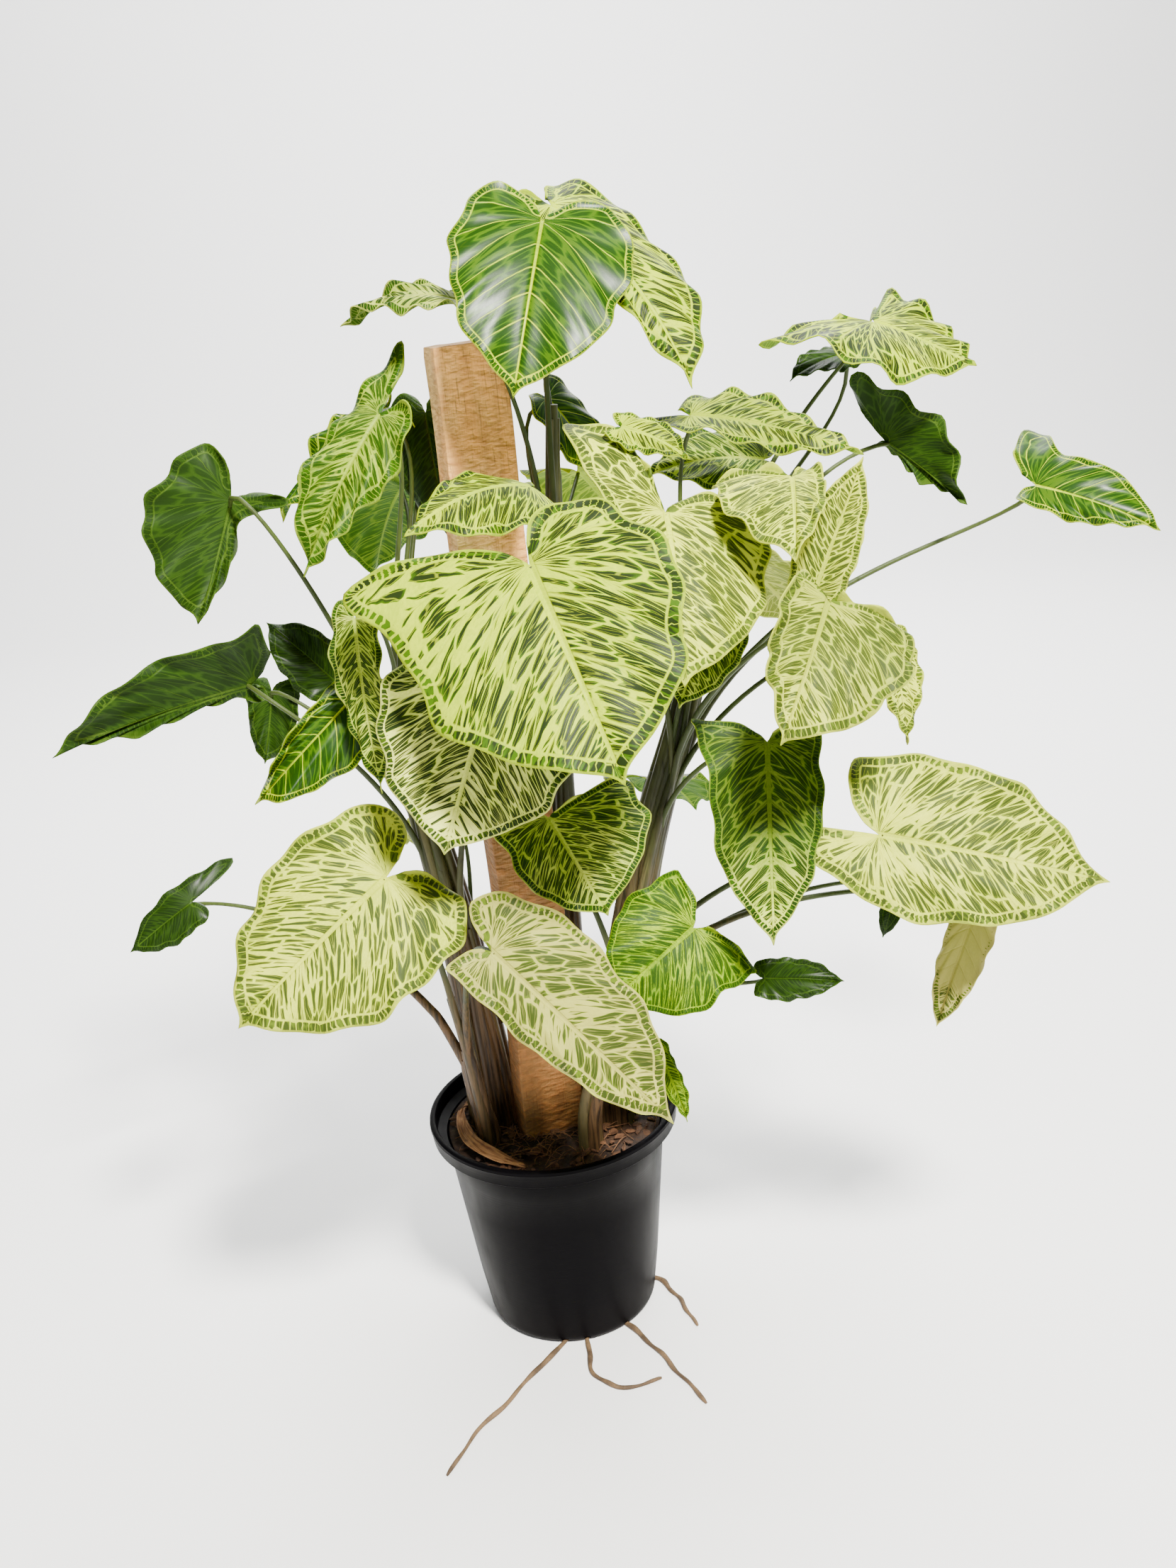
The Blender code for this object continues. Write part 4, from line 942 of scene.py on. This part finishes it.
def blade_form(leaf, spokes, rings, seed):
    """The blade's middle surface as a grid of points, with what its veins need at each point."""
    _, _, _, _, joint, tip, halves, lobes, face, (bend, fold, wave) = leaf
    joint, tip = np.array(joint, float), np.array(tip, float)
    chord = np.linalg.norm(tip - joint)
    bend, fold = math.radians(bend), math.radians(fold)
    length = chord * (bend / 2) / math.sin(bend / 2)
    left = half_margin(length, halves[0], lobes[0], lobes[1], spokes) * (1, -1)
    right = half_margin(length, halves[1], lobes[2], lobes[3], spokes)
    margin = np.vstack([left[::-1], right[1:]])
    place = np.linspace(-1, 1, len(margin))[:, None]
    margin[:, 1:] *= 1 + SCALLOP * np.sin(31 * place + seed) * np.sin(9 * place + 2 * seed)
    ring = (np.linspace(0, 1, rings) ** 0.9)[None, :]
    along, across = margin[:, :1] * ring, margin[:, 1:] * ring
    width = max(halves)
    size = math.sqrt(length * width) / 100
    phase, out = vein_field(along, across, length, width)
    edge, round_it = to_margin(along, across, margin)
    border = (1.8 + 5.6 * size) * BORDER_SHARE.get(leaf[1], 1.0)
    spacing = length / LATERALS
    between = 0.5 - 0.5 * np.cos(math.tau * phase / spacing)
    inside = np.clip(edge / (2 * border), 0, 1) * np.clip(out / (0.5 * width), 0, 1)
    relief = QUILT * size * between * inside - RIB_GROOVE * size * np.exp(-(across / (1.8 * size)) ** 2)
    ripple = 0.75 * wave * ring**4 * np.sin(math.pi * 3.3 * MARGIN_WAVES * place + 2.1 * seed)
    step, rise = arc(np.abs(across), fold, -math.radians(CROSS_CURL) / width)
    step = step * np.sign(across)
    rise = rise + wave * ring**3 * np.sin(math.pi * MARGIN_WAVES * place + joint[0]) + relief + ripple
    forward, lift = arc(along, bend / 2, -bend / length)
    lean = bend / 2 - bend / length * along
    forward, lift = forward - rise * np.sin(lean), lift + rise * np.cos(lean)
    ahead = (tip - joint) / chord
    up = np.array(face, float)
    up -= ahead * (up @ ahead)
    up /= np.linalg.norm(up)
    side = np.cross(up, ahead)
    points = joint + forward[..., None] * ahead + step[..., None] * side + lift[..., None] * up
    scale = 0.45 + 0.55 * size
    # the fourth number dulls the net near the stalk and fades out towards the tip; in part it is painted shade
    near, far, lean, dull_and_shade, warm = TONE.get(leaf[0], TONE[leaf[1]])
    towards_tip = np.clip((along / length - 0.45) / 0.4, 0, 1)
    cover = near + (far - near) * towards_tip - lean * across / width
    fields = {"vein": np.stack([phase / scale, out / scale, np.full_like(phase, seed)], -1),
              "edge": np.stack([edge / border, round_it / border, np.abs(across) / scale], -1),
              "grow": np.stack([along / length, np.hypot(along, across) / scale, phase / spacing], -1),
              "tone": np.stack([cover, dull_and_shade * (1 - towards_tip), np.full_like(phase, warm)], -1)}
    return points, fields, up, ahead


print("blade form ready")

# %% Blade mesh
FACE_SIZE = 2.1


def make_blade(leaf, seed, finishes):
    """One blade: a grid moved to the leaf's form, closed at the joint, and given its thickness."""
    chord = math.dist(leaf[4], leaf[5])
    spokes = int(np.clip(1.25 * chord / FACE_SIZE, 22, 64))
    rings = int(np.clip(0.55 * (chord + max(leaf[6])) / FACE_SIZE, 16, 44))
    points, fields, up, ahead = blade_form(leaf, spokes, rings, seed)
    rows, columns = points.shape[:2]
    only_select()
    bpy.ops.mesh.primitive_grid_add(x_subdivisions=columns - 1, y_subdivisions=rows - 1, size=2.0,
                                    location=(0, 0, 0))
    blade = bpy.context.object
    mesh = blade.data
    flat = np.zeros(len(mesh.vertices) * 3)
    mesh.vertices.foreach_get("co", flat)
    flat = flat.reshape(-1, 3)
    column = np.rint((flat[:, 0] + 1) / 2 * (columns - 1)).astype(int)
    row = np.rint((flat[:, 1] + 1) / 2 * (rows - 1)).astype(int)
    mesh.vertices.foreach_set("co", (points[row, column] * MM).ravel())
    for name, values in fields.items():
        store(mesh, name, values[row, column])
    bpy.ops.object.mode_set(mode="EDIT")
    bpy.ops.mesh.select_all(action="SELECT")
    bpy.ops.mesh.remove_doubles(threshold=0.00002)
    bpy.ops.object.mode_set(mode="OBJECT")
    for finish in finishes:
        mesh.materials.append(finish)
    shell = blade.modifiers.new("thickness", "SOLIDIFY")
    shell.thickness = BLADE_THICKNESS * MM
    shell.offset = 0.0
    shell.material_offset = 1
    bpy.ops.object.modifier_apply(modifier=shell.name)
    bpy.ops.object.shade_smooth()
    finish_piece(blade, f"blade_{leaf[0]}", None, f"leaf_{leaf[0]}")
    return up, ahead


print("blade maker ready")

# %% [markdown]
# ## The batik skin
# The blade's net of pale veins is the plant's point. Three numbers stored on each vertex carry it: which
# side vein a point lies on, how far out along that vein, and how near the margin. Voronoi cells, drawn in
# those coordinates and stretched along the veins, leave long dark islands between pale walls. The midrib,
# the side veins, the vein that follows the margin and the row of small islands outside it are drawn from
# the same numbers. How wide the walls are decides whether a leaf reads as green, lime or cream.

# %% Leaf finish
CELL_WIDE = 5.6
LANE = 19.0
FEATHER = 0.13
THIN_WALL = 0.04
CELL_HALF = 0.62


def leaf_finish(name, colours, veins, net, cell_long, roughness, coat=0.0):
    """A leaf's face. Veins is the midrib's half width, net how plain to see the fine net is."""
    island, rim, wall, glow = colours
    shader = Shader(name, roughness)
    phase, out, seed = shader.attribute("vein")
    edge, round_it, rib = shader.attribute("edge")
    share, reach, course = shader.attribute("grow")
    cover, dull_and_shade, warm = shader.attribute("tone")
    broad = shader.noise(shader.vector(phase * 0.03, out * 0.03, seed), 2.0)
    sway = shader.noise(shader.vector(phase * 0.07, out * 0.045, seed * 1.3), 2.0) - 0.5
    bow = shader.noise(shader.vector(phase * 0.07, out * 0.045, seed * 1.3 + 9.0), 2.0) - 0.5
    wobble = shader.noise(shader.vector(phase * 0.13, out * 0.06, seed), 1.0) - 0.5
    lane = course + sway * 0.22
    stray = (0.5 - (lane.maths("FRACT") - 0.5).maths("ABSOLUTE")) * LANE
    drift = stray - out * FEATHER + bow * 2.5 + wobble * 1.6
    path = out + bow * 10.0 + wobble * 4.0 + lane.maths("FLOOR") * 77.0
    across = drift / CELL_WIDE + seed * 3.7
    spot = {"Vector": shader.vector(path / cell_long, across), "Scale": 1.0, "Randomness": 0.85}
    cells = shader.node("TexVoronoi", {"feature": "DISTANCE_TO_EDGE", "voronoi_dimensions": "2D"}, spot)
    middle = shader.split(shader.node("TexVoronoi", {"voronoi_dimensions": "2D"}, spot, 2))[1]
    hairs = shader.node("TexVoronoi", {"feature": "DISTANCE_TO_EDGE", "voronoi_dimensions": "2D"},
                        {"Vector": shader.vector(path / 24.0, drift / 1.9 + seed * 5.1, 0.0), "Scale": 1.0})
    row = shader.node("TexVoronoi", {"feature": "DISTANCE_TO_EDGE", "voronoi_dimensions": "2D"},
                      {"Vector": shader.vector(round_it * 1.8 + seed, edge - 0.32 + wobble * 0.3, 0.0),
                       "Scale": 1.0, "Randomness": 0.5})
    pale = (broad - 0.5) * 0.75 + reach.step(30.0, 4.0) * 0.15 + cover
    wide = pale.maths("MAXIMUM", 0.03)
    shoulder = CELL_HALF - (across - middle).maths("ABSOLUTE") - wide * 2.0
    depth = (cells - THIN_WALL).maths("MINIMUM", shoulder)
    islands = depth.step(0.0, 0.04) * (1 - hairs.step(0.08, 0.02) * 0.42)
    side_vein = stray.step(out.step(80.0, 0.0) * veins * 0.6 + veins * 0.28, 0.1)
    midrib = (rib - (1 - share * 0.75) * veins).step(0.7, 0.0)
    inner = edge.step(1.06, 1.2)
    border = row.step(wide * 0.7, wide * 0.7 + 0.07) * edge.step(0.14, 0.26) * edge.step(1.0, 0.9)
    face = islands * net + (1 - net)
    dark = (face * inner * (1 - side_vein) * (1 - midrib)).maths("MAXIMUM", border)
    fine = shader.noise(shader.vector(phase * 0.9, out * 0.5, seed), 4.0)
    ground = shader.blend((depth * 3.0 + fine * 0.4 + border * 0.15).step(0.2, 0.65), rim, island)
    light = shader.blend((broad * 0.5 + fine * 0.5).step(0.40, 0.62), wall, glow)
    light = shader.blend(edge.step(1.3, 0.4) * 0.35, light, rim)
    light = shader.blend(warm, light, (0.38, 0.30, 0.12))
    # partly painted shade: the net is dulled towards the rim colour near the stalk, and less so towards the tip
    light = shader.blend(dull_and_shade, light, rim)
    colour = shader.blend(dark, light, ground)
    colour = shader.blend(edge.step(0.10, 0.03) * 0.6, colour, glow)
    relief = dark * 0.5 - midrib - side_vein * 0.6 + fine * 0.12
    shader.surface.inputs["Specular IOR Level"].default_value = 0.06
    shader.surface.inputs["Coat Weight"].default_value = coat
    shader.surface.inputs["Coat Roughness"].default_value = 0.3
    return shader.finish(colour, fine * 0.16 + (roughness - 0.08), relief, 0.0006, 0.55)


# the upper and the lower face of each finish: the colours of island, island rim, net and glowing net,
# then the midrib's half width, how plain the net is, how long its cells are, roughness and gloss
UPPER = {
    "leaf_lime": (((0.012, 0.022, 0.004), (0.038, 0.095, 0.001), (0.32, 0.43, 0.0), (0.42, 0.53, 0.0)),
                  2.6, 1.0, 26.0, 0.42),
    "leaf_cream": (((0.038, 0.058, 0.008), (0.09, 0.14, 0.008), (0.43, 0.52, 0.015), (0.58, 0.65, 0.045)),
                   2.0, 1.0, 17.0, 0.46),
    "leaf_dark": (((0.012, 0.032, 0.003), (0.026, 0.075, 0.002), (0.38, 0.50, 0.03), (0.60, 0.68, 0.09)),
                  2.0, 1.0, 21.0, 0.42),
    "leaf_batik": (((0.016, 0.030, 0.006), (0.045, 0.085, 0.004), (0.60, 0.68, 0.10), (0.74, 0.78, 0.18)),
                   2.4, 1.0, 26.0, 0.42),
    "leaf_netted": (((0.014, 0.044, 0.001), (0.030, 0.088, 0.001), (0.11, 0.20, 0.001), (0.26, 0.38, 0.003)),
                    2.2, 0.93, 26.0, 0.42),
    "leaf_green": (((0.008, 0.034, 0.001), (0.022, 0.075, 0.001), (0.26, 0.37, 0.0), (0.40, 0.49, 0.0)),
                   1.15, 0.06, 24.0, 0.31, 0.17),
    "leaf_plain": (((0.006, 0.017, 0.001), (0.012, 0.032, 0.002), (0.022, 0.050, 0.003), (0.040, 0.085, 0.006)),
                   0.8, 0.08, 24.0, 0.38, 0.1),
}
UNDER = {
    "leaf_lime": (((0.10, 0.20, 0.002), (0.14, 0.26, 0.003), (0.30, 0.46, 0.008), (0.38, 0.52, 0.02)),
                  2.6, 0.8, 24.0, 0.6),
    "leaf_cream": (((0.15, 0.20, 0.02), (0.19, 0.26, 0.02), (0.40, 0.46, 0.06), (0.46, 0.50, 0.09)),
                   2.2, 0.8, 17.0, 0.6),
    "leaf_dark": (((0.022, 0.06, 0.003), (0.033, 0.08, 0.003), (0.13, 0.22, 0.015), (0.18, 0.27, 0.025)),
                  2.0, 0.6, 21.0, 0.6),
    "leaf_batik": (((0.022, 0.06, 0.003), (0.033, 0.08, 0.003), (0.20, 0.30, 0.03), (0.26, 0.34, 0.04)),
                   2.0, 0.6, 26.0, 0.6),
    "leaf_netted": (((0.04, 0.11, 0.003), (0.07, 0.16, 0.004), (0.18, 0.30, 0.012), (0.24, 0.36, 0.02)),
                    2.0, 0.6, 20.0, 0.6),
    "leaf_green": (((0.026, 0.09, 0.001), (0.045, 0.13, 0.002), (0.15, 0.27, 0.008), (0.21, 0.34, 0.015)),
                   1.1, 0.4, 24.0, 0.6),
    "leaf_plain": (((0.009, 0.025, 0.002), (0.016, 0.042, 0.003), (0.028, 0.062, 0.004), (0.055, 0.10, 0.010)),
                   0.6, 0.15, 24.0, 0.5),
}
skins = {finish: (leaf_finish(finish, *UPPER[finish]), leaf_finish(finish + "_under", *UNDER[finish]))
         for finish in UPPER}
print("leaf skins:", len(skins))

# %% [markdown]
# Now every leaf of the table is made. The seed moves its pattern, so that no two leaves share their islands.

# %% All blades
seats = {}
for number, leaf in enumerate(LEAVES):
    seats[leaf[0]] = make_blade(leaf, 1.7 * number + 0.4, skins[SKIN.get(leaf[0], leaf[1])])
faces = sum(len(o.data.polygons) for o in bpy.data.objects if o.name.startswith("blade_"))
print("blades:", len(seats), "faces:", faces)

# %% [markdown]
# ## Stems and leaf stalks
# A syngonium's stem is wrapped in the sheathed feet of its leaf stalks, which is why a clump looks
# like a bundle of reeds. Each clump is a core tube, and round it every stalk starts low as a broad ridge
# on the core's skin, climbs it, then leaves it in one sweep and arrives at its blade from below and behind.

# %% Clumps
STEM_DEPTH = 14.0
SHEATH_RADIUS_LOW = 4.6
STALK_RADIUS = 2.3
STALK_END = 1.35


def stem_path(route, count):
    """The middle line of a stem, from in the soil to its top."""
    foot = [(*route[0][:2], SOIL_TOP - STEM_DEPTH), (*route[0][:2], SOIL_TOP + 12.0)]
    return smooth_route([*foot, *route[1:]], count)


def stalk_route(leaf, path, radii, number):
    """A leaf stalk: up the stem's skin, then in one sweep to the blade's joint, with its radii."""
    up, ahead = seats[leaf[0]]
    joint = np.array(leaf[4], float)
    takeoff = np.array([np.interp(leaf[3], path[:, 2], path[:, i]) for i in range(3)])
    heading = up * 0.85 + ahead * 0.3
    heading = heading / np.linalg.norm(heading)
    end = joint + ahead * 3.0 - heading * 0.2
    out = end - takeoff
    span = np.linalg.norm(out)
    rise = np.array([out[0] * 0.25, out[1] * 0.25, span * 0.45])
    handles = (takeoff, takeoff + rise, end - heading * span * 0.3, end)
    t = np.linspace(0.0, 1.0, 22)[:, None]
    sweep = (handles[0] * (1 - t) ** 3 + 3 * handles[1] * t * (1 - t) ** 2
             + 3 * handles[2] * t**2 * (1 - t) + handles[3] * t**3)
    bearing = math.atan2(out[1], out[0]) + 0.5 * math.sin(number * 2.1)
    heights = np.linspace(max(SOIL_TOP - 6.0, leaf[3] - 230.0), leaf[3] - 8.0, 16)
    climb = np.array([[np.interp(z, path[:, 2], path[:, 0]), np.interp(z, path[:, 2], path[:, 1]), z]
                      for z in heights])
    skin = np.interp(heights, path[:, 2], radii) * 0.78
    twist = bearing + 0.9 * (1 - np.linspace(0, 1, 16)) * math.cos(number * 1.3)
    climb[:, 0] += skin * np.cos(twist)
    climb[:, 1] += skin * np.sin(twist)
    offset = skin[-1] * (1 - t[2:]) ** 6
    sweep = sweep[2:] + np.hstack([offset * math.cos(bearing), offset * math.sin(bearing), offset * 0])
    line = smooth_route(np.vstack([climb, sweep]), 44)
    share = np.linspace(0, 1, 44)
    split = len(climb) / (len(climb) + len(sweep))
    radii = np.interp(share, (0, split, split + 0.1, 0.93, 0.97, 1.0),
                      (SHEATH_RADIUS_LOW, 3.0, STALK_RADIUS, STALK_END, STALK_END + 0.35, STALK_END))
    return line, radii


def make_clump(name):
    """One stem with all its stalks."""
    route, foot_radius, top_radius = STEMS[name]
    path = stem_path(route, 60)
    radii = np.linspace(foot_radius, top_radius, len(path))
    pieces = [tube(path, radii * 0.74, 4, 0.0)]
    reeds = round(5 + foot_radius / 3)
    climb = np.linspace(0, 1, len(path))
    for k in range(reeds):
        turn = math.tau * k / reeds + draw.uniform(-0.2, 0.2) + draw.uniform(-0.7, 0.7) * climb
        share = draw.uniform(0.22, 0.34) * (1 - 0.3 * climb * draw.random())
        around = np.stack([np.cos(turn), np.sin(turn), 0 * turn], -1) * (radii * (0.97 - share))[:, None]
        end = draw.randrange(24, len(path))
        pieces.append(tube((path + around)[:end], (radii * share)[:end], 3, 0.0, draw.random()))
    for number, leaf in enumerate(leaf for leaf in LEAVES if leaf[2] == name):
        line, widths = stalk_route(leaf, path, radii, number)
        pieces.append(tube(line, widths, 3, 1.0, draw.random()))
    return join_pieces(pieces)


def stem_finish():
    """Stem skin: brown papery sheaths near the soil, olive higher up, fine lines along it."""
    shader = Shader("stem_skin", 0.5)
    share, stalk, tone = shader.attribute("stalk")
    place = shader.place()
    x, y, z = shader.split(place)
    lines = shader.noise(shader.vector(x * 420.0, y * 420.0, z * 14.0), 4.0)
    patches = shader.noise(shader.vector(x * 60.0, y * 60.0, z * 18.0), 3.0)
    olive = shader.blend(patches.step(0.35, 0.65), (0.018, 0.022, 0.005), (0.056, 0.060, 0.016))
    husk = shader.blend(lines.step(0.35, 0.65), (0.026, 0.015, 0.007), (0.13, 0.070, 0.028))
    colour = shader.blend((z + patches * 0.16).step(0.52, 0.30), olive, husk)
    colour = shader.blend(tone.step(0.55, 1.0) * 0.7, colour, (0.12, 0.105, 0.04))
    green = shader.blend(share, (0.010, 0.017, 0.004), (0.044, 0.066, 0.010))
    colour = shader.blend(stalk * share.step(0.45, 0.75), colour, green)
    colour = shader.blend(lines.step(0.56, 0.74) * 0.5, colour, (0.007, 0.006, 0.003))
    shader.surface.inputs["Specular IOR Level"].default_value = 0.25
    return shader.finish(colour, lines * 0.25 + 0.36, lines, 0.0005, 0.7)


stem_skin = stem_finish()
for name in STEMS:
    finish_piece(make_clump(name), name.replace("stem", "clump"), stem_skin, name)
print("clumps:", len(STEMS))

# %% [markdown]
# ## Roots on the floor
# Four roots left the pot through notches in its base and lie on the floor. Each is a tube along a few
# given points, seen from above. A real root swells and thins as it grows, so its radius
# wanders, and it ends bluntly.

# %% Root shape
ROOT_RADIUS = 1.95
ROOT_LIFT = 0.25


def make_root(name, route):
    """A root with a wandering radius and a blunt end."""
    flat = smooth_route(route, 54)
    share = np.linspace(0, 1, len(flat))
    turn = draw.uniform(0, 6)
    radii = ROOT_RADIUS * (1 - 0.32 * share) * (1 + 0.14 * np.sin(17 * share + turn) + 0.07 * np.sin(43 * share))
    radii[-2:] *= (0.9, 0.6)
    sway = 1.1 * np.sin(share * 19 + turn) * np.sin(math.pi * share)
    heading = np.gradient(flat, axis=0)
    heading /= np.linalg.norm(heading, axis=1)[:, None]
    flat = flat + np.stack([-heading[:, 1], heading[:, 0]], -1) * sway[:, None]
    points = [(x, y, r * 0.9 + ROOT_LIFT) for (x, y), r in zip(flat, radii)]
    return tube(points, radii, 4)


def root_finish():
    """Corky brown root skin, with rings and soil in its creases."""
    shader = Shader("root_skin", 0.75)
    share, _, _ = shader.attribute("stalk")
    place = shader.place()
    fine = shader.noise(place, 6.0, 700.0)
    broad = shader.noise(place, 2.0, 60.0)
    rings = shader.noise(shader.vector(share * 160.0, broad), 2.0, 1.0)
    colour = shader.blend(broad.step(0.35, 0.65), (0.060, 0.034, 0.014), (0.16, 0.095, 0.042))
    colour = shader.blend(fine.step(0.52, 0.72) * 0.7, colour, (0.028, 0.018, 0.009))
    return shader.finish(colour, None, rings + fine, 0.0005, 0.8)


root_skin = root_finish()
for name, route in ROOTS.items():
    finish_piece(make_root(name, route), f"fine_{name}", root_skin, name)
print("roots:", len(ROOTS))

# %% [markdown]
# ## Dry sheaths on the soil
# Old leaf sheaths dry out, split and curl. The large one lies left of the stems in a shallow arch. It is a
# grid bent round the stems, with torn ends and a rolled edge, and Solidify gives it paper's thickness.

# %% Dry sheath
SHEATH_RADIUS = 72.0
SHEATH_MIDDLE = 205
SHEATH_SPAN = 50


def make_sheath():
    """The curled strip of dry sheath."""
    only_select()
    bpy.ops.mesh.primitive_grid_add(x_subdivisions=90, y_subdivisions=14, size=2.0, location=(0, 0, 0))
    strip = bpy.context.object
    for vert in strip.data.vertices:
        along, across = vert.co.x, vert.co.y
        torn = 1 - 0.35 * abs(along) ** 6 * (1 + math.sin(9 * across + 4 * along))
        wide = across * (0.75 + 0.35 * math.sin(2.2 * along + 0.6)) * (1 - 0.75 * along**4)
        turn = math.radians(SHEATH_MIDDLE + SHEATH_SPAN * along * torn)
        reach = SHEATH_RADIUS - 5.5 * wide + 1.2 * math.sin(5 * along)
        arch = (5.0 + 5.0 * across**2) * (1 - along**2) + 0.5 * math.sin(11 * along + 3 * across)
        height = SOIL_TOP + 1.4 + arch + 0.25 * math.sin(26 * across)
        vert.co = Vector((reach * math.cos(turn), reach * math.sin(turn), height)) * MM
    shell = strip.modifiers.new("thickness", "SOLIDIFY")
    shell.thickness = 0.6 * MM
    shell.offset = 0.0
    bpy.ops.object.modifier_apply(modifier=shell.name)
    bpy.ops.object.shade_smooth()
    return strip


def sheath_finish():
    """Dry fibrous sheath: rusty brown, streaked along its length."""
    shader = Shader("dry_sheath", 0.85)
    place = shader.place()
    x, y, z = shader.split(place)
    around = y.maths("ARCTAN2", x)
    reach = (x * x + y * y).maths("SQRT")
    streaks = shader.noise(shader.vector(around * 4.0, reach * 900.0, z * 300.0), 4.0)
    spots = shader.noise(place, 4.0, 110.0)
    colour = shader.blend(streaks.step(0.35, 0.65), (0.21, 0.085, 0.032), (0.46, 0.235, 0.10))
    colour = shader.blend(spots.step(0.55, 0.75) * 0.7, colour, (0.06, 0.03, 0.018))
    return shader.finish(colour, None, streaks + spots * 0.5, 0.0006, 0.8)


finish_piece(make_sheath(), "curled_sheath", sheath_finish(), "dry_sheath")
print("dry sheath finished")
